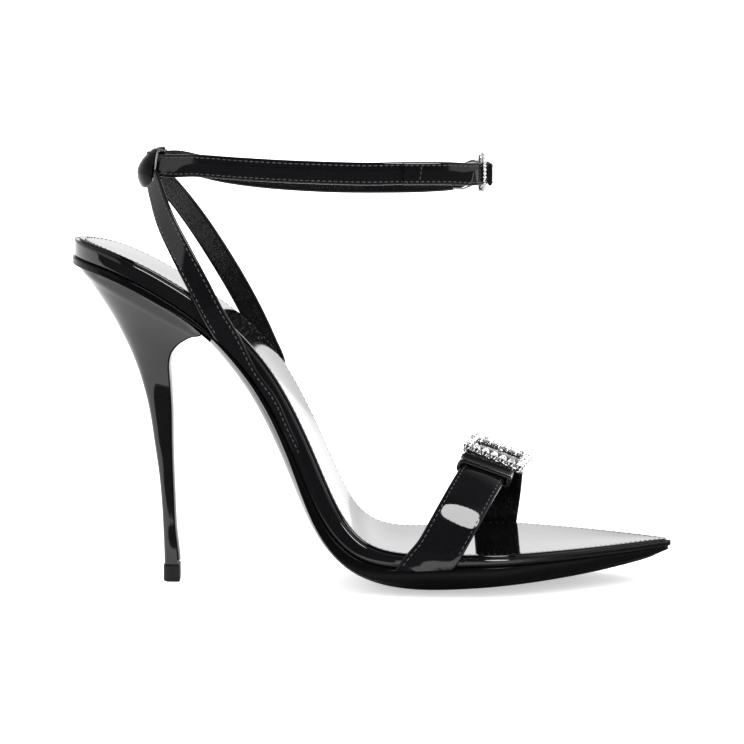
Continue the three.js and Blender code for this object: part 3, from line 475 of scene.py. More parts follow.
# Thread: a dark grey base, lighter than the black thread, is a painted sheen standing for the glints on the
# stitches
thread = leather("waxed_thread_painted_sheen", (0.03, 0.03, 0.032), 0.3, 0.05, 0.4, 5000)
silver = metal("polished_silver", (0.86, 0.86, 0.87), 0.1)
crystal = crystal_material()


# Sole: wall and board, sock lining, outsole
def share(pair, t):
    return pair[0] + t * (pair[1] - pair[0])


def rounded(s, edge, side, radius, level, angles):
    """Points over a rounded upper edge, at angles from its side up to its top."""
    return [
        sole_point(s, edge - side * radius * (1 - np.cos(a)), level - radius * (1 - np.sin(a)))
        for a in angles * DEGREE
    ]


def build_insole():
    top = SOCK_LEVEL - SOCK_THICKNESS - GAP
    s = stations(0)
    edges = half_widths(s, 0)
    width = edges[1] - edges[0]
    wall = layer(s)[2]
    radius = np.minimum(RIM_RADIUS, width / 4)
    tuck = np.minimum(0.5, width / 8)
    ring = []
    for edge, side in ((edges[1], 1), (edges[0], -1)):
        part = [
            sole_point(s, edge - side * tuck, -wall), sole_point(s, edge - side * tuck * 0.35, -wall * 0.93),
        ]
        part += [sole_point(s, edge, -wall * t) for t in (0.8, 0.6, 0.4)]
        part += rounded(s, edge, side, radius, top + 0.35, np.linspace(0, 90, 9))
        part.append(sole_point(s, edge - side * np.minimum(radius + 0.35, width * 0.3), top + 0.1))
        ring.append(part)
    middle = [sole_point(s, share(edges, t), top) for t in (0.7, 0.5, 0.3)]
    under = [sole_point(s, share(edges, t), -wall) for t in (0.3, 0.7)]
    rings = np.stack(ring[0] + middle + ring[1][::-1] + under, axis=1)
    return finish(loft("insole_cover", rings, 55), patent, "patent_insole", "insole")


def build_sock():
    s = stations(-SOCK_INSET + 0.25)
    edges = half_widths(s, -SOCK_INSET + 0.25)
    width = edges[1] - edges[0]
    low = SOCK_LEVEL - SOCK_THICKNESS - GAP
    radius = np.minimum(0.7, width / 6)
    ring = []
    for edge, side in ((edges[1], 1), (edges[0], -1)):
        over = rounded(s, edge, side, radius, SOCK_LEVEL, np.linspace(0, 90, 7))
        ring.append([sole_point(s, edge, low)] + over)
    dish = SOCK_DISH * np.minimum(width / 30, 1)
    top = [
        sole_point(s, share(edges, t), SOCK_LEVEL - dish * np.sin(math.pi * t))
        for t in np.linspace(0.94, 0.06, 15)
    ]
    rings = np.stack(ring[0] + top + ring[1][::-1] + [sole_point(s, share(edges, 0.5), low)], axis=1)
    return finish(loft("sock_sheet", rings, 60), patent_insole, "patent_sock", "sock_lining")


def edge_roll(along, edge, t):
    """How far the outsole's underside rises towards its edge at the waist."""
    waist = smoothstep((along - 0.13) / 0.13) * (1 - smoothstep((along - 0.36) / 0.16))
    return 0.75 * edge * waist * (np.maximum(abs(t) - 0.4, 0) / 0.6) ** 2


def build_outsole():
    s = stations(BACK_LEDGE, -TIP_SETBACK)
    _, _, wall, edge, belly, ledge, _ = layer(s)
    edges = half_widths(s, ledge)
    middle = (edges[0] + edges[1]) / 2
    half = (edges[1] - edges[0]) / 2
    top = -wall - GAP + 0.25
    along = (rim(s)[0] - BACK_X) / SOLE_LENGTH
    low = -wall - GAP - edge * (1 - 0.6 * smoothstep((along - 0.95) / 0.05) ** 1.5)
    radius = np.minimum(0.55, half / 3)
    corner = np.minimum(0.55, 0.2 * edge)
    bottom = half - corner
    under = []
    for t in np.linspace(1, -1, 45):
        level = low + edge_roll(along, edge, t) - belly * (1 - abs(t) ** BELLY_POWER)
        p = sole_point(s, middle + t * bottom, level)
        p[:, 2] = np.maximum(p[:, 2], 0)
        under.append(p)
    sides = []
    for side in (1, -1):
        part = [sole_point(s, middle + side * half * 0.8, top)]
        part += rounded(s, middle + side * half, side, radius, top, np.linspace(90, 0, 6))
        for a in np.linspace(0, 70, 5) * DEGREE:
            out = half - corner * (1 - np.cos(a))
            level = low + edge_roll(along, edge, 1) + corner * (1 - np.sin(a))
            part.append(sole_point(s, middle + side * out, level))
        sides.append(part)
    rings = np.stack([sole_point(s, middle, top)] + sides[0] + under + sides[1][::-1], axis=1)
    return finish(loft("sole_unit", rings, 60), satin, "satin_sole", "outsole")


def stitch_row(name, centres, ahead, out, width=0.42):
    """Short sewn stitches, each a small rounded bar lying along the seam."""
    rings, size = [(t, max((1 - t**4) ** 0.5, 0.12)) for t in (-1, -0.82, -0.3, 0.3, 0.82, 1)], 6
    angle = np.arange(size) / size * 2 * math.pi
    side = unit(np.cross(ahead, out))
    points, faces = [], []
    for k, (c, a, o, d) in enumerate(zip(centres, ahead, out, side)):
        base = k * len(rings) * size
        for t, fat in rings:
            dip = -0.35 * width * t * t
            for g in angle:
                round_ = (d * math.cos(g) + o * math.sin(g)) * fat * width / 2
                points.append(c + a * (t * STITCH / 2) + round_ + o * dip)
        faces += ring_faces(len(rings), size, base)
        faces.append([base + j for j in range(size)][::-1])
        faces.append([base + (len(rings) - 1) * size + j for j in range(size)])
    return finish(make(name, place(np.array(points)), faces, None), thread, "patent_strap")


def build_sole_stitches():
    inset = SOCK_INSET + 1.9
    s = stations(-inset, step=0.5)
    edges = half_widths(s, -inset)
    level = SOCK_LEVEL - 0.1
    line = np.concatenate([sole_point(s, edges[0], level), sole_point(s[::-1], edges[1][::-1], level)])
    up = [np.stack([-np.sin(rim(q)[2]), 0 * q, np.cos(rim(q)[2])], axis=1) for q in (s, s[::-1])]
    return stitches_along("sock_stitches", line, np.concatenate(up), 2.15, width=0.3)


def stitches_along(name, line, out, pitch=2.0, **more):
    length = np.concatenate([[0], np.cumsum(np.linalg.norm(np.diff(line, axis=0), axis=1))])
    at = np.arange(pitch / 2, length[-1] - pitch / 2, pitch)
    read = lambda q, values: np.stack([np.interp(q, length, values[:, k]) for k in range(3)], axis=1)
    ahead = unit(read(at + 0.3, line) - read(at - 0.3, line))
    return stitch_row(name, read(at, line), ahead, unit(read(at, out)), **more)


build_insole()
build_sock()
build_outsole()
build_sole_stitches()


# Heel, its breast cover and the top lift
def heel_section(t):
    back = BACK_X - BACK_LEDGE + HEEL_INSET + heel_back(t) * HEEL_PITCH
    slant = 0.52 * smoothstep((t - 0.3) / 0.7)
    middle = 0.05 * SEAT_HALF * smoothstep((t - 0.45) / 0.55)
    z = LIFT_HEIGHT + GAP + t * heel_rise
    return back, back + heel_depth(t) - GAP - BREAST, heel_half(t), middle, slant, z


under_s = np.linspace(0, 0.45 * ARC, 400)


def under_height(x, y):
    """Height of the outsole's underside over a point in plan, near the heel."""
    _, _, wall, edge, belly, _, _ = layer(under_s)
    line = sole_point(under_s, 0 * under_s, -wall - GAP - edge - belly)
    s = np.interp(x, line[:, 0], under_s)
    lateral, medial, wall, edge, belly, _, _ = layer(s)
    t = np.clip(np.abs((y - (medial - lateral) / 2) / ((medial + lateral) / 2)), 0, 1)
    roll = edge_roll((rim(s)[0] - BACK_X) / SOLE_LENGTH, edge, t)
    return sole_point(s, y, roll - wall - GAP - edge - belly * (1 - t**BELLY_POWER))[..., 2]


def heel_rings(shares, outline):
    """Rings of the heel: outline gives forward place and sideways place for a section."""
    rings = []
    for t in shares:
        back, front, half, middle, slant, z = heel_section(t)
        ring = [(x, middle + y, z - slant * (x - back)) for x, y in outline(back, front, half, t)]
        rings.append(ring)
    rings = np.array(rings)
    limit = under_height(rings[..., 0], rings[..., 1]) + 0.12
    rings[..., 2] = np.minimum(rings[..., 2], limit)
    return rings


def d_outline(back, front, half, steps=44, roundness=0.46):
    a = np.linspace(-90, 90, steps + 1) * DEGREE
    x = front - (front - back) * np.abs(np.cos(a)) ** roundness
    y = half * np.sign(np.sin(a)) * np.abs(np.sin(a)) ** roundness
    return list(zip(x, y)) + [(front, 0.5 * half), (front, 0), (front, -0.5 * half)]


def build_heel():
    shares = np.concatenate([np.linspace(0, 1, 90), [1.02, 1.05, 1.08]])

    def block(back, front, half, t):
        return d_outline(back, front, half, roundness=0.46 + 0.34 * smoothstep((t - 0.5) / 0.3))

    heel = loft("heel_cover", heel_rings(shares, block), 50)
    finish(heel, patent, "patent_heel", "heel")

    def sheet(back, front, half, t):
        near, far, side = front - 0.05, front + GAP + BREAST, 0.97 * half
        face = [(far - 0.55 * abs(u) ** 2.4, u * side) for u in np.linspace(-1, 1, 17)]
        return [(near, -side), (near + 0.25, -side)] + face + [(near + 0.25, side), (near, side)]

    cover = loft("breast_sheet", heel_rings(np.linspace(0.012, 1.0, 90), sheet), 50)
    finish(cover, satin, "breast_leather", "heel_breast_cover")
    rings = []
    for z, inset in ((0, 0.5), (0.12, 0.2), (0.35, 0.04), (0.7, 0), (5.2, 0), (5.6, 0.06), (5.8, 0.25)):
        back = lift_back + inset
        outline = d_outline(back, lift_back + LIFT_DEPTH - inset, LIFT_WIDTH / 2 - inset)
        rings.append([(x, y, z) for x, y in outline])
    finish(loft("lift_tip", rings, 50), matte, "matte_lift", "top_lift")


build_heel()


# Straps
def band_frames(route, faces, steps):
    t = np.linspace(0, 1, steps + 1)
    centre = Route(route).at(t)
    ahead = Route(route).ahead(t)
    face = Route(faces).at(t)
    for k in range(3):
        face[:, k] = soften(face[:, k], steps / 40)
    side = unit(np.cross(ahead, face))
    return centre, ahead, side, unit(np.cross(side, ahead))


def band_outline(width, crown):
    """Section of a strap: turned edges, a slightly crowned face, sides in order round the section."""
    radius = STRAP * 0.48
    half = width / 2
    points = []
    for turn in np.linspace(-90, 90, 9) * DEGREE:
        points.append((half - radius + radius * math.cos(turn), radius * math.sin(turn)))
    for t in np.linspace(0.8, -0.8, 9):
        points.append((t * (half - radius), STRAP / 2 + crown * (1 - t * t)))
    for turn in np.linspace(90, 270, 9) * DEGREE:
        points.append((-half + radius + radius * math.cos(turn), radius * math.sin(turn)))
    for t in np.linspace(-0.8, 0.8, 5):
        points.append((t * (half - radius), -STRAP / 2))
    return np.array(points)


def band_rings(frames, width, crown):
    centre, _, side, out = frames
    outline = band_outline(width, crown)
    return centre[:, None] + side[:, None] * outline[None, :, :1] + out[:, None] * outline[None, :, 1:]


def groove_height(x, drop=0.0):
    """Height of the groove under the wall above a place in plan."""
    s = np.linspace(0, ARC, 900)
    line = sole_point(s, 0 * s, -layer(s)[2] - drop)
    return np.interp(x, line[:, 0], line[:, 2])


def trim(rings, drop=0.15):
    rings[..., 2] = np.maximum(rings[..., 2], groove_height(rings[..., 0], drop))
    return rings


# Places round a strap's section that make its inner face
LINING_STRIP = range(27, 32)


def two_tone(obj, count, size):
    """Gives the inner face of a strap its lining."""
    obj.data.materials.append(lining)
    for face in obj.data.polygons[:(count - 1) * size]:
        if face.index % size in LINING_STRIP:
            face.material_index = 1


def strap_piece(name, frames, width, *nodes, trimmed=False, lined=True, crown=0.1):
    rings = band_rings(frames, width, crown)
    if trimmed:
        rings = trim(rings)
    obj = finish(loft(name, rings, 60), patent, "patent_strap", *nodes)
    if lined:
        two_tone(obj, *rings.shape[:2])


def edge_stitches(name, frames, width, inset=1.25, pitch=2.0, lowest=None, start=0, stop=None):
    centre, _, side, out = (part[start:stop] for part in frames)
    for tag, sign in (("a", 1), ("b", -1)):
        line = centre + side * sign * (width / 2 - inset) + out * (STRAP / 2 + 0.04)
        keep = np.ones(len(line), bool)
        if lowest is not None:
            keep = line[:, 2] > groove_height(line[:, 0]) + lowest
        stitches_along(f"{name}_{tag}", line[keep], out[keep], pitch)


loop_centre_x = BACK_X + LOOP_SETBACK + LOOP_RADIUS
loop_bottom = LOOP_TOP - LOOP_HEIGHT
slot_top = LOOP_TOP - LOOP_WALL
slot_bottom = slot_top - ANKLE_WIDTH - 2 * GAP
slot_outer = LOOP_RADIUS - LOOP_WALL
slot_inner = slot_outer - STRAP - 2 * GAP
ankle_z = (slot_top + slot_bottom) / 2

LATERAL_STRAP = [
    [-0.18, -0.15, 0.0, 0], [-0.08, -0.07, 0.0, 0], [0.0, 0.0, 0.0, 0], [0.08, 0.075, 0.0, 0],
    [0.18, 0.165, 0.0, 0], [0.28, 0.305, 0.0, 0], [0.41, 0.435, 0.0, 0], [0.51, 0.55, -0.02, 2],
    [0.61, 0.65, 0.04, 8], [0.73, 0.775, 0.16, 18], [0.85, 0.895, 0.4, 32], [0.955, 0.97, 0.8, 46],
    [1.0, 1.0, 1.0, 54],
]
MEDIAL_STRAP = [
    [-0.12, -0.02, 0.0, 0], [0.0, 0.0, 0.0, 0], [0.1, 0.012, 0.0, 0], [0.2, 0.036, 0.0, 0],
    [0.27, 0.095, 0.0, 0], [0.363, 0.178, 0.0, 0], [0.464, 0.28, 0.0, 2], [0.6, 0.433, 0.06, 8],
    [0.79, 0.666, 0.36, 26], [0.94, 0.88, 0.8, 44], [1.0, 1.0, 1.0, 54],
]


def heel_strap(name, side, rows, foot, wall_half):
    foot_x = BACK_X + foot[0] * SOLE_LENGTH
    foot_z = foot[1] * loop_bottom
    top_z = slot_bottom + 0.5
    radius = LOOP_RADIUS - STRAP / 2
    top_x = loop_centre_x - radius * math.cos(46 * DEGREE)
    top_y = radius * math.sin(46 * DEGREE)
    wall_y = wall_half + GAP + STRAP / 2 - 0.05
    route = [
        [
            foot_x + back * (top_x - foot_x), side * (wall_y + inward * (top_y - wall_y)),
            foot_z + climb * (top_z - foot_z),
        ]
        for climb, back, inward, _ in rows
    ]
    faces = []
    for climb, _, _, turn in rows:
        down = -0.17 * (1 - smoothstep((climb - 0.15) / 0.35))
        faces.append([-math.sin(turn * DEGREE), side * math.cos(turn * DEGREE), down])
    frames = band_frames(route, faces, 120)
    strap_piece(name, frames, HEEL_STRAP_WIDTH, "heel_straps", trimmed=True)
    edge_stitches(name + "_stitches", frames, HEEL_STRAP_WIDTH, lowest=1.6)


heel_strap("lateral_heel_strap", -1, LATERAL_STRAP, (0.361, 0.355), float(column(OUTLINE, 1)(0.32)))
heel_strap("medial_heel_strap", 1, MEDIAL_STRAP, (0.337, 0.41), float(column(OUTLINE, 2)(0.3)))


def tube(name, line, ahead, tilt, radii, sides, *nodes):
    """Round bar along a line, with its own radius at each point."""
    side = unit(np.cross(ahead, tilt))
    up = np.cross(side, ahead)
    turns = np.linspace(0, 2 * math.pi, sides, endpoint=False)[:, None]
    rings = [p + r * (q * np.cos(turns) + v * np.sin(turns)) for p, q, v, r in zip(line, side, up, radii)]
    return finish(loft(name, rings, 60), silver, "polished_metal", *nodes)


def wire(name, corners, radius):
    """Fine round wire bent through its corners."""
    corners = np.array(corners, float)
    runs = [np.linspace(a, b, 10)[:-1] for a, b in zip(corners, corners[1:])]
    line = np.concatenate(runs + [corners[-1:]])
    for k in range(3):
        line[:, k] = soften(line[:, k], 1.0)
    return tube(name, line, unit(np.gradient(line, axis=0)), [0.2, 1.0, 0.1], np.full(len(line), radius), 10)


def build_loop():
    steps = 48
    round_ = 1.1
    height = LOOP_TOP - round_ * 0.4 - loop_bottom
    inside = -(LOOP_RADIUS - slot_inner + LOOP_WALL)
    outer_section = [
        (0.6 - 2.7 * (2.1 * u - 1) ** 2, loop_bottom + height * u) for u in np.linspace(0, 1, 9)
    ] + [
        (-2.7 - 0.4 * round_, LOOP_TOP - 0.1), (-2.7 - round_, LOOP_TOP),
        (inside + 0.5, LOOP_TOP), (inside, LOOP_TOP - 0.5), (inside, loop_bottom),
    ]
    hole = [(slot_outer, slot_bottom + rise) for rise in (0, 1, 3, 5, 7)]
    hole += [
        (slot_outer, slot_top - 0.6), (slot_outer, slot_top - 0.2), (slot_outer - 0.1, slot_top),
        (slot_outer - 0.4, slot_top),
        (slot_inner + 0.2, slot_top), (slot_inner, slot_top - 0.2), (slot_inner, slot_bottom),
    ]

    def at(r, z, turn):
        r = r - LOOP_LEAN * (z - ankle_z)
        return (loop_centre_x - r * math.cos(turn), -r * math.sin(turn), z)

    rings_out, rings_in = [], []
    for a in np.linspace(-LOOP_HALF_ANGLE, LOOP_HALF_ANGLE, steps + 1) * DEGREE:
        rings_out.append([at(LOOP_RADIUS + dr, z, a) for dr, z in outer_section])
        rings_in.append([at(r, z, a) for r, z in hole])
    out, inn = np.array(rings_out), np.array(rings_in)
    count, size = out.shape[:2]
    points = np.concatenate([out.reshape(-1, 3), inn.reshape(-1, 3)])
    offset = count * size
    faces = ring_faces(count, size) + [face[::-1] for face in ring_faces(count, size, offset)]
    last = (count - 1) * size
    for j in range(size):
        k = (j + 1) % size
        faces.append([j, offset + j, offset + k, k])
        faces.append([last + j, last + k, offset + last + k, offset + last + j])
    obj = make("back_loop", place(points), faces, 45)
    finish(obj, satin, "patent_strap")
    # A silver wire along the loop's near edge stands for the highlight on that edge: a painted highlight
    near = LOOP_HALF_ANGLE * DEGREE
    proud = 0.5 * np.array([math.sin(near), -math.cos(near), 0])
    heights = (LOOP_TOP - 0.3, slot_bottom - 1.2)
    top, foot = [np.array(at(LOOP_RADIUS - 0.3, z, near)) + proud for z in heights]
    wire("loop_edge_highlight_wire", [top + [3.2, 0, 0.2], top, foot, foot + [2.2, 0, -0.2]], 0.3)


build_loop()

ankle_back_x = loop_centre_x - slot_outer + GAP + STRAP / 2
ankle_bend = slot_outer - GAP - STRAP / 2
bar = np.array([
    ankle_back_x + 0.959 * ANKLE_REACH, -(ANKLE_FRAME_WIDTH - ANKLE_RIM) / 2, ankle_z - 0.55 * ANKLE_SLOPE,
])
LATERAL_ANKLE = [
    [0.918, -0.57, 0.5, 40], [0.865, -0.72, 0.4, 24], [0.735, -0.915, 0.34, 10], [0.64, -0.98, 0.36, 5],
    [0.528, -1.0, 0.3, 0], [0.393, -0.965, 0.2, -5], [0.258, -0.85, 0.06, -12], [0.14, -0.66, -0.06, -20],
    [0.085, -0.535, 0.0, -25],
]
MEDIAL_ANKLE = [
    [0.085, 0.535, 0.02, -155], [0.14, 0.66, 0.3, -160], [0.224, 0.8, 0.77, -167], [0.35, 0.955, 1.18, -174],
    [0.525, 1.0, 1.43, -180], [0.698, 0.965, 1.45, -186], [0.808, 0.855, 1.36, -194], [0.885, 0.66, 1.15, -210],
]
TIP_END = [
    [-0.175, 0.95, -222], [-0.167, 0.8, -237], [0.05, 0.533, -234], [0.258, 0.25, -240],
    [0.305, 0.017, -268], [0.27, -0.35, -280],
]
FOLD_TURN = 43
FOLD_RADIUS = ANKLE_RIM / 2 + GAP + STRAP / 2


def plan_face(turn, rise=0.0):
    return np.array([math.sin(turn * DEGREE), -math.cos(turn * DEGREE), rise])


def build_ankle_strap():
    def row_point(row):
        ahead, side, drop = row[:3]
        return np.array([ankle_back_x + ahead * ANKLE_REACH, side * ANKLE_HALF, ankle_z - drop * ANKLE_SLOPE])

    def fold_point(turn):
        return bar + plan_face(FOLD_TURN + turn) * FOLD_RADIUS

    lateral = [row_point(row) for row in LATERAL_ANKLE]
    faces = [plan_face(row[3]) for row in LATERAL_ANKLE]
    route = [fold_point(180)] + lateral
    route_faces = [plan_face(FOLD_TURN)] + faces
    for angle in (-62, -40, -20, 0, 20, 40, 62):
        a = angle * DEGREE
        route.append(np.array([loop_centre_x - ankle_bend * math.cos(a), ankle_bend * math.sin(a), ankle_z]))
        route_faces.append(plan_face(-90 - angle, LOOP_LEAN))
    for row in MEDIAL_ANKLE:
        route.append(row_point(row))
        route_faces.append(plan_face(row[3]))
    for ahead, side, turn in TIP_END:
        route.append(bar + np.array([ahead, side, 0]) * ANKLE_FRAME_WIDTH)
        route_faces.append(plan_face(turn))
    frames = band_frames(route, route_faces, 420)
    strap_piece("ankle_strap_band", frames, ANKLE_WIDTH, "ankle_strap")
    edge_stitches("ankle_strap_stitches", frames, ANKLE_WIDTH, inset=1.1, pitch=1.9, start=4)
    outer = [p + f * (STRAP - 0.15) for p, f in zip(lateral[:3], faces[:3])][::-1]
    turns = (0, 36, 72, 108, 144, 180)
    fold_route = outer + [fold_point(turn) for turn in turns] + [lateral[0]]
    fold_faces = faces[:3][::-1] + [plan_face(FOLD_TURN + turn) for turn in (*turns, 180)]
    fold = band_frames(fold_route, fold_faces, 90)
    strap_piece("ankle_strap_fold", fold, ANKLE_WIDTH, lined=False)
    edge_stitches("ankle_fold_stitches", fold, ANKLE_WIDTH, inset=1.1, pitch=1.9, stop=52)
    centre, ahead, side, out = (part[3] for part in fold)
    above = centre + out * (STRAP / 2 + 0.04)
    across = [above + side * q + ahead * (0.9 - 0.35 * q / 3) for q in (-2.7, 2.7)]
    stitches_along("ankle_fold_end_stitches", np.linspace(*across, 20), np.tile(out, (20, 1)), 1.7)


build_ankle_strap()

TOE_STRAP = [
    [0.552, -1, -0.28, 0, 0], [0.568, -1, -0.13, 0, 0], [0.583, -1, 0.0, 0, 0], [0.604, -0.995, 0.165, 1.5, 0],
    [0.626, -0.955, 0.405, 14, 3], [0.646, -0.85, 0.615, 33, 7], [0.667, -0.655, 0.81, 52, 12],
    [0.687, -0.37, 0.945, 70, 17], [0.704, -0.05, 1.0, 84, 20], [0.713, 0.22, 0.99, 97, 20],
    [0.718, 0.5, 0.885, 117, 18], [0.717, 0.73, 0.69, 139, 12], [0.714, 0.9, 0.43, 160, 6],
    [0.709, 0.985, 0.165, 176, 0], [0.706, 1, 0.0, 180, 0], [0.704, 1, -0.11, 180, 0],
]
CROWN = 8.16 / 15
KEEPER = 6.906 / 15
strap_out = BALL_HALF + GAP + STRAP / 2 - 0.05
groove_at_ball = FOREFOOT_HEIGHT - 0.56 * WALL
toe_route = [
    [BACK_X + along * SOLE_LENGTH, out * strap_out, groove_at_ball + climb * TOE_ARCH]
    for along, out, climb, _, _ in TOE_STRAP
]
toe_faces = [
    [
        math.sin(lean * DEGREE),
        -math.cos(lean * DEGREE) * math.cos(turn * DEGREE),
        math.cos(lean * DEGREE) * math.sin(turn * DEGREE),
    ]
    for *_, turn, lean in TOE_STRAP
]
toe_frames = band_frames(toe_route, toe_faces, 200)
share_along = np.linspace(0, 1, 201)
swell = 0.8 * smoothstep(1.25 * (1 - abs(share_along - CROWN - 0.006) / 0.055))
toe_frames = (toe_frames[0] + toe_frames[3] * swell[:, None], *toe_frames[1:])
strap_piece("toe_strap_band", toe_frames, TOE_WIDTH, "toe_strap", trimmed=True, crown=0.35)
edge_stitches("toe_strap_stitches", toe_frames, TOE_WIDTH, inset=1.3, pitch=2.0, lowest=1.2)


# Buckles
def basis_at(t):
    route, faces = Route(toe_route), Route(toe_faces)
    centre, ahead = route.at([t])[0], route.ahead([t])[0]
    across = unit(np.cross(ahead, faces.at([t])[0]))
    return centre, across, ahead, unit(np.cross(across, ahead))


def lay(basis, points):
    """Points drawn across, ahead and out, laid on a band."""
    centre, across, ahead, out = basis
    return centre + points[:, :1] * across + points[:, 1:2] * ahead + points[:, 2:] * out


def bowed(y, width, bow):
    """Drop of a bowed frame at a place along its width, twice as much in its far half."""
    return bow * np.where(np.asarray(y) > 0, 2.0, 1.0) * (np.asarray(y) / (width / 2)) ** 2


def rounded_frame(length, width, rim_size, thickness, corner, bow):
    """Ring-shaped bar with a rounded section, drawn flat; bow lowers its ends along the width."""
    def outline(a, b, r, count=6):
        points = []
        centres = ((a - r, b - r, 0), (-a + r, b - r, 90), (-a + r, -b + r, 180), (a - r, -b + r, 270))
        for cx, cy, start in centres:
            for k in range(count + 1):
                t = (start + 90 * k / count) * DEGREE
                points.append((cx + r * math.cos(t), cy + r * math.sin(t)))
        ring = []
        for k, point in enumerate(points):
            ring.append(point)
            if k % (count + 1) == count:
                after = np.array(points[(k + 1) % len(points)])
                ring += [tuple(point + (after - point) * t / 9) for t in range(1, 9)]
        return np.array(ring)

    outer = outline(length / 2, width / 2, corner)
    inner = outline(length / 2 - rim_size, width / 2 - rim_size, max(corner - rim_size, 0.25))
    rings = []
    for t in np.linspace(0, 2 * math.pi, 16, endpoint=False):
        u = 0.5 + 0.5 * np.sign(math.cos(t)) * abs(math.cos(t)) ** 0.6
        z = 0.5 * thickness * np.sign(math.sin(t)) * abs(math.sin(t)) ** 0.6
        flat = outer * u + inner * (1 - u)
        rings.append(np.column_stack([flat, z - bowed(flat[:, 1], width, bow)]))
    rings = np.array(rings)
    return rings.reshape(-1, 3), ring_faces(*rings.shape[:2], closed=True)


def regular(sides, radius, turn=0.0):
    """Corners of a regular polygon, turned by a share of one side."""
    angles = [2 * math.pi * (k + turn) / sides for k in range(sides)]
    return [(radius * math.cos(a), radius * math.sin(a)) for a in angles]


def gem(size, sides=8):
    """Cut stone: table, crown facets and girdle, seated in a shallow cup."""
    r = size / 2
    points, faces = [], []
    for radius, z, turn in ((0.5, 0.44, 0), (0.8, 0.26, 0.5), (0.93, 0.05, 0), (0.93, -0.3, 0)):
        points += [(x, y, z * size) for x, y in regular(sides, radius * r, turn)]
    faces.append(list(range(sides)))
    for ring, turned in ((0, False), (1, True)):
        for k in range(sides):
            a, b = ring * sides + k, ring * sides + (k + 1) % sides
            c, d = (ring + 1) * sides + k, (ring + 1) * sides + (k + 1) % sides
            faces += [[a, c, b], [b, c, d]] if not turned else [[a, c, d], [a, d, b]]
    for k in range(sides):
        a, b = 2 * sides + k, 2 * sides + (k + 1) % sides
        faces.append([a, a + sides, b + sides, b])
    faces.append([3 * sides + k for k in range(sides)][::-1])
    loose = [points[k] for face in faces for k in face]
    ends = np.cumsum([0] + [len(face) for face in faces])
    return np.array(loose), [list(range(a, b)) for a, b in zip(ends[:-1], ends[1:])]


def cup(size, sides=12):
    r = size / 2
    section = ((0.86, -0.32), (1.0, -0.3), (1.0, 0.02), (0.94, 0.1), (0.86, 0.06))
    points = [(x, y, z * size) for radius, z in section for x, y in regular(sides, radius * r)]
    faces = ring_faces(len(section), sides)
    faces.append(list(range(sides))[::-1])
    faces.append([(len(section) - 1) * sides + k for k in range(sides)])
    bead = ((0, 0.2, 0), (0.16, 0.12, 1), (0.2, 0.0, 0), (0.14, -0.3, 1))
    for middle_x, middle_y in regular(4, 0.92 * r, 0.5):
        base = len(points)
        for radius, z, turn in bead:
            corners = regular(5, radius * r, 0.5 * turn)
            points += [(middle_x + x, middle_y + y, z * size) for x, y in corners]
        faces += [face[::-1] for face in ring_faces(len(bead), 5, base)]
        faces.append([base + 15 + j for j in range(5)])
    return np.array(points), faces


def scatter(shape, places):
    points, faces, base = [], [], 0
    for move in places:
        moved = shape[0] + np.array(move)
        points.append(moved)
        faces += [[base + k for k in face] for face in shape[1]]
        base += len(moved)
    return np.concatenate(points), faces


def set_stones(name, basis, seats, cup_size, gem_size):
    for tag, shape, material, sharp in (
        ("cups", cup(cup_size), silver, 40), ("stones", gem(gem_size), crystal, 1),
    ):
        cloud, faces = scatter(shape, seats)
        finish(make(f"{name}_{tag}", place(lay(basis, cloud)), faces, sharp), material, "polished_metal")


def buckle(name, basis, length, width, rim_size, stone, places, node, lift, corner, thick, bow=0.0):
    points, faces = rounded_frame(length, width, rim_size, thick, corner, bow)
    points[:, 2] += lift
    finish(make(name + "_frame", place(lay(basis, points)), faces, 40), silver, "polished_metal", node)
    level = lift + thick / 2 + 0.22 * stone
    seats = [(x, y, level - float(bowed(y, width, bow))) for x, y in places]
    set_stones(name, basis, seats, stone * 0.98, stone * 0.94)


def border(length, width, rim_size, stone):
    run_x, run_y = length - rim_size, width - rim_size
    count_x, count_y = max(2, round(run_x / stone)), max(2, math.floor(run_y / stone + 0.5))
    along_x = [-run_x / 2 + run_x * i / count_x for i in range(count_x + 1)]
    along_y = [-run_y / 2 + run_y * i / count_y for i in range(1, count_y)]
    ends = (-1, 1)
    places = [(x, side * run_y / 2) for x in along_x for side in ends]
    return places + [(side * run_x / 2, y) for y in along_y for side in ends]


# Place along a pin and share of its width, both its ends rounded
PIN_ENDS = (
    (0, 0.3), (0.01, 0.7), (0.04, 0.95), (0.1, 1), (0.5, 1), (0.85, 0.95), (0.95, 0.75), (0.99, 0.45), (1, 0.2),
)


def rod(name, start, stop, node):
    t, fat = np.array(PIN_ENDS).T
    ahead = np.tile(unit(stop - start), (len(t), 1))
    return tube(name, share((start, stop), t[:, None]), ahead, [0.3, 0.2, 1.0], fat * PIN / 2, 14, node)


toe_basis = basis_at(CROWN)
toe_length = TOE_WIDTH + 2 * (TOE_RIM + 2 * GAP)
toe_lift = STRAP / 2 + GAP + TOE_THICKNESS / 2
toe_bow = (TOE_BUCKLE_WIDTH / 2) ** 2 / (2 * TOE_BEND)
buckle(
    "toe_buckle", toe_basis, toe_length, TOE_BUCKLE_WIDTH, TOE_RIM, TOE_STONE,
    border(toe_length, TOE_BUCKLE_WIDTH, TOE_RIM, TOE_STONE), "toe_buckle", toe_lift, 1.6,
    TOE_THICKNESS, toe_bow,
)
pin_level = STRAP / 2 + 2 * GAP + PIN / 2
pin_places = (0.12 * TOE_BUCKLE_WIDTH, TOE_BUCKLE_WIDTH / 2 - TOE_RIM - 2 * GAP)
pin_line = [[0, y, pin_level + 0.3 - 1.5 * y * y / (2 * TOE_BEND)] for y in pin_places]
rod("toe_pin", *lay(toe_basis, np.array(pin_line)), "toe_buckle_pin")

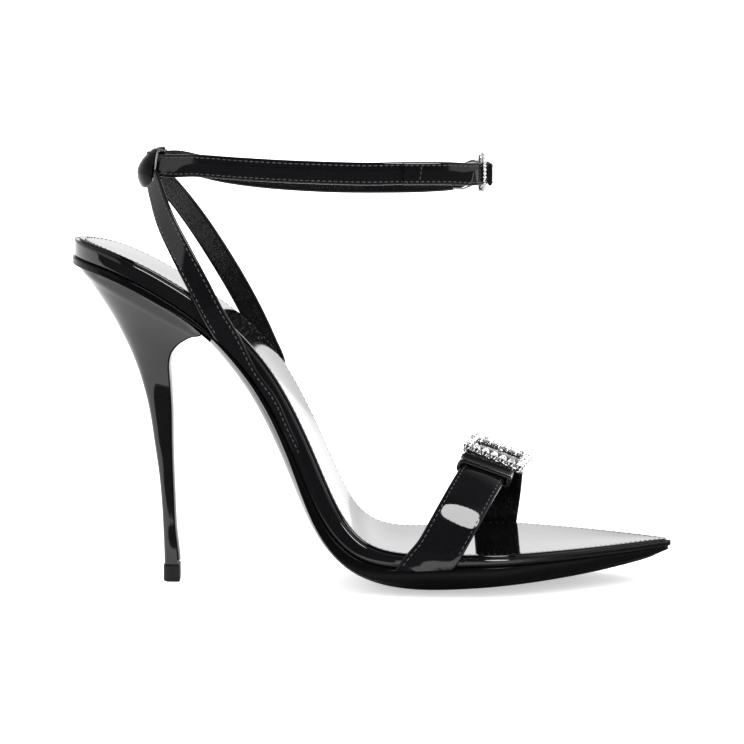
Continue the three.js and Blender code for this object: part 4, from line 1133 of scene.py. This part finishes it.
run = ANKLE_FRAME_HEIGHT - ANKLE_RIM
side_x = (ANKLE_FRAME_WIDTH - ANKLE_RIM) / 2
forward, leftward, upward = np.eye(3)
ankle_basis = (bar + side_x * leftward, leftward, upward, forward)
ankle_places = []
for i in range(8):
    y = -run / 2 + run * i / 7
    for x in (-side_x, -side_x / 2, 0, side_x / 2, side_x) if abs(y) > run / 2 - 0.1 else (side_x,):
        ankle_places.append((x, y))
buckle(
    "ankle_buckle", ankle_basis, ANKLE_FRAME_WIDTH, ANKLE_FRAME_HEIGHT, ANKLE_RIM, ANKLE_STONE,
    ankle_places, "ankle_buckle", 0.0, 1.0, FRAME_THICKNESS,
)
# The frame's ornamental side stands before the folded strap
face_half = ANKLE_FRAME_HEIGHT / 2 - 1.6
face_at = bar + np.array([1.3, -FOLD_RADIUS - STRAP / 2 - 0.9, 0])
outward = unit(np.array([0.45, -1.0, 0]))
face_basis = (face_at, np.array([-outward[1], outward[0], 0]), upward, outward)
face_places = [(0, y, 0.4) for y in np.linspace(-face_half, face_half - 0.6, 8)]
set_stones("ankle_face", face_basis, face_places, 1.3, 1.25)
bow_line = [(0.9, 6.4), (0.4, 3.0), (-0.6, -0.6), (-2.8, -3.6), (-6.0, -4.7), (-9.4, -4.3)]
bow_out = FOLD_RADIUS + STRAP / 2 + 0.5
wire("ankle_buckle_bow", [bar + np.array([x, -bow_out - 0.66 * max(-x, 0), z]) for x, z in bow_line], 0.38)
rod(
    "ankle_pin", bar + np.array([0.125, 0.27, 0]) * ANKLE_FRAME_WIDTH,
    bar + np.array([0.2, 0.91, 0]) * ANKLE_FRAME_WIDTH, "ankle_buckle_pin",
)


def build_keeper():
    """Leather loop round the toe strap, its lower edge turned out as a lip."""
    half_x, half_z, corner = TOE_WIDTH / 2 + GAP + 0.3, STRAP / 2 + GAP + 0.35, 0.6
    path = []
    for cx, cz, start in (
        (half_x - corner, half_z - corner, 0), (corner - half_x, half_z - corner, 90),
        (corner - half_x, corner - half_z, 180), (half_x - corner, corner - half_z, 270),
    ):
        for turn in np.linspace(start, start + 90, 7) * DEGREE:
            out_x, out_z = math.cos(turn), math.sin(turn)
            path.append((cx + corner * out_x, cz + corner * out_z, out_x, out_z))
    w = KEEPER_WIDTH / 2
    section = (
        (-w, 0.1), (-w - 0.05, 0.5), (-w + 0.05, 1.05), (-w + 0.35, 1.35), (-w + 0.75, 1.3), (-w + 1.15, 0.9),
        (-w + 1.6, 0.55), (-w + 2.4, 0.5), (0.3, 0.62), (w - 1.3, 0.85), (w - 0.9, 1.05), (w - 0.5, 1.05),
        (w - 0.2, 0.9), (w, 0.6), (w, 0.1), (w - 0.3, 0.0), (0, 0.0), (-w + 0.3, 0.0),
    )
    points = [(x + nx * d, y, z + nz * d) for x, z, nx, nz in path for y, d in section]
    faces = ring_faces(len(path), len(section), closed=True)
    centre, across, ahead, out = basis_at(KEEPER)
    c, s = math.cos(KEEPER_TURN * DEGREE), math.sin(KEEPER_TURN * DEGREE)
    basis = (centre, across * c + ahead * s, ahead * c - across * s, out)
    loop = make("toe_keeper_loop", place(lay(basis, np.array(points))), faces, 50)
    return finish(loop, patent, "patent_strap", "toe_keeper")


build_keeper()


# Studio: white floor and surroundings, a dark sector in front, a softbox high in front
FLOOR_SIZE = 6.0
WHITE_TONE, DARK_TONE = 0.92, 0.03
CAMERA_LIFT = 0.5
EVEN_LIGHT = 1.7


def build_floor():
    mesh = bpy.data.meshes.new("studio_floor")
    lines = np.linspace(-FLOOR_SIZE / 2, FLOOR_SIZE / 2, 25)
    count = len(lines)
    corners = [j * count + i for j in range(count - 1) for i in range(count - 1)]
    faces = [[k, k + 1, k + count + 1, k + count] for k in corners]
    mesh.from_pydata([(x, y, 0) for y in lines for x in lines], [], faces)
    floor = bpy.data.objects.new("studio_floor", mesh)
    bpy.context.collection.objects.link(floor)
    material, graph, shader = new_material("studio_floor_white")
    graph.nodes.remove(shader)
    white, dark = [graph.new("BsdfDiffuse", Color=(tone, tone, tone, 1)) for tone in (WHITE_TONE, DARK_TONE)]
    path = graph.new("LightPath")
    spot = graph.new("SeparateXYZ", Vector=graph.new("NewGeometry").outputs["Position"])
    x, y, _ = spot.outputs
    # Reflections see the floor dark well in front of the shoe; under its forepart the dark is painted shade,
    # the shadow under the sole as its reflections see it
    in_front = graph.remap(y, -0.144, -0.138, 1, 0)
    painted_shade_fore = graph.remap(x, -0.06, 0.015, 0, 0.9)
    beneath = graph.remap(graph.maths("ABSOLUTE", y), 0.06, 0.09, 1, 0)
    shade = graph.maths("MAXIMUM", in_front, graph.maths("MULTIPLY", painted_shade_fore, beneath))
    mix = graph.new("MixShader", Fac=graph.maths("MULTIPLY", shade, path.outputs["Is Glossy Ray"]))
    # A lift for the camera alone keeps the shadow as pale as the photograph's
    strength = graph.maths("MULTIPLY", path.outputs["Is Camera Ray"], CAMERA_LIFT)
    lift, total = graph.new("Emission", Color=(1, 1, 1, 1), Strength=strength), graph.new("AddShader")
    for socket, source in zip((*mix.inputs[1:3], *total.inputs), (white, dark, mix, lift)):
        graph.put(socket, source.outputs[0])
    graph.fill(graph.nodes["Material Output"], Surface=total.outputs[0])
    mesh.materials.append(material)


def build_world():
    world = bpy.data.worlds.new("studio")
    bpy.context.scene.world = world
    world.use_nodes = True
    graph = Graph(world.node_tree)
    graph.nodes.clear()

    def between(value, *limits):
        return graph.remap(value, *limits, "SMOOTHSTEP")

    def times(*values):
        return graph.maths("MULTIPLY", *values)

    x, y, z = graph.new("SeparateXYZ", Vector=graph.new("TexCoord").outputs["Generated"]).outputs
    azimuth = graph.maths("ABSOLUTE", graph.maths("ARCTAN2", x, times(y, -1.0)))
    sides = between(azimuth, 37 * DEGREE, 42 * DEGREE, 0.0, 1.0)
    high = between(z, 0.16, 0.5, 1.0, 0.4)
    top = between(z, 0.72, 0.9, 1.0, 0.1)
    behind = between(y, 0.9, 0.97, 0.0, 1.0)
    lift = graph.maths("ADD", between(z, 0.03, 0.15, 0.24, 0.72), between(x, 0.04, 0.16, 0.0, 0.12))
    glow = graph.maths("ADD", times(behind, lift), 0.96)
    level = graph.maths("ADD", times(times(sides, high), times(glow, top)), 0.012)
    # Reflections see the studio, all other light comes from an even white
    mix = graph.new("Mix", Factor=graph.new("LightPath").outputs["Is Glossy Ray"], A=EVEN_LIGHT, B=level)
    background = graph.new("Background", Color=(1, 1, 1, 1), Strength=mix.outputs["Result"])
    graph.new("OutputWorld", Surface=background.outputs[0])


def softbox(name, location, target, size_x, size_y, radiance, shape="RECTANGLE"):
    light = bpy.data.lights.new(name, "AREA")
    light.shape = shape
    light.size, light.size_y = size_x, size_y
    light.energy = radiance * math.pi * size_x * size_y
    obj = bpy.data.objects.new(name, light)
    obj.location = location
    obj.rotation_euler = (Vector(target) - Vector(location)).to_track_quat("-Z", "Y").to_euler()
    bpy.context.collection.objects.link(obj)
    return obj


build_floor()
build_world()
front_box = softbox("softbox_front", (0.45, -0.9, 1.02), (0.02, 0, 0.03), 0.46, 0.88, 11, "ELLIPSE")
front_box.visible_diffuse = False
top_box = softbox("softbox_top", (0, 0.7, 2.4), (0, 0, 0), 3.0, 2.4, 1.6)
top_box.visible_glossy = False

# Camera at the photograph's viewing angle, its places in metres
FOCAL_PIXELS, FRAME_PIXELS = 4390, 744
EYE_BACK, EYE_HEIGHT, AIM_HEIGHT = 1.49, 0.26, 0.072
camera_data = bpy.data.cameras.new("camera")
camera_data.sensor_width = 36
camera_data.lens = FOCAL_PIXELS / FRAME_PIXELS * camera_data.sensor_width
camera_data.clip_start = 0.01
camera_data.clip_end = 50
camera = bpy.data.objects.new("camera", camera_data)
eye = Vector((-SHIFT[0] * 0.001, -EYE_BACK, EYE_HEIGHT))
aim = Vector((-SHIFT[0] * 0.001, 0, AIM_HEIGHT))
camera.location = eye
camera.rotation_euler = (aim - eye).to_track_quat("-Z", "Y").to_euler()
bpy.context.collection.objects.link(camera)
bpy.context.scene.camera = camera
bpy.context.scene.view_settings.view_transform = "Standard"
bpy.context.scene.view_settings.look = "None"
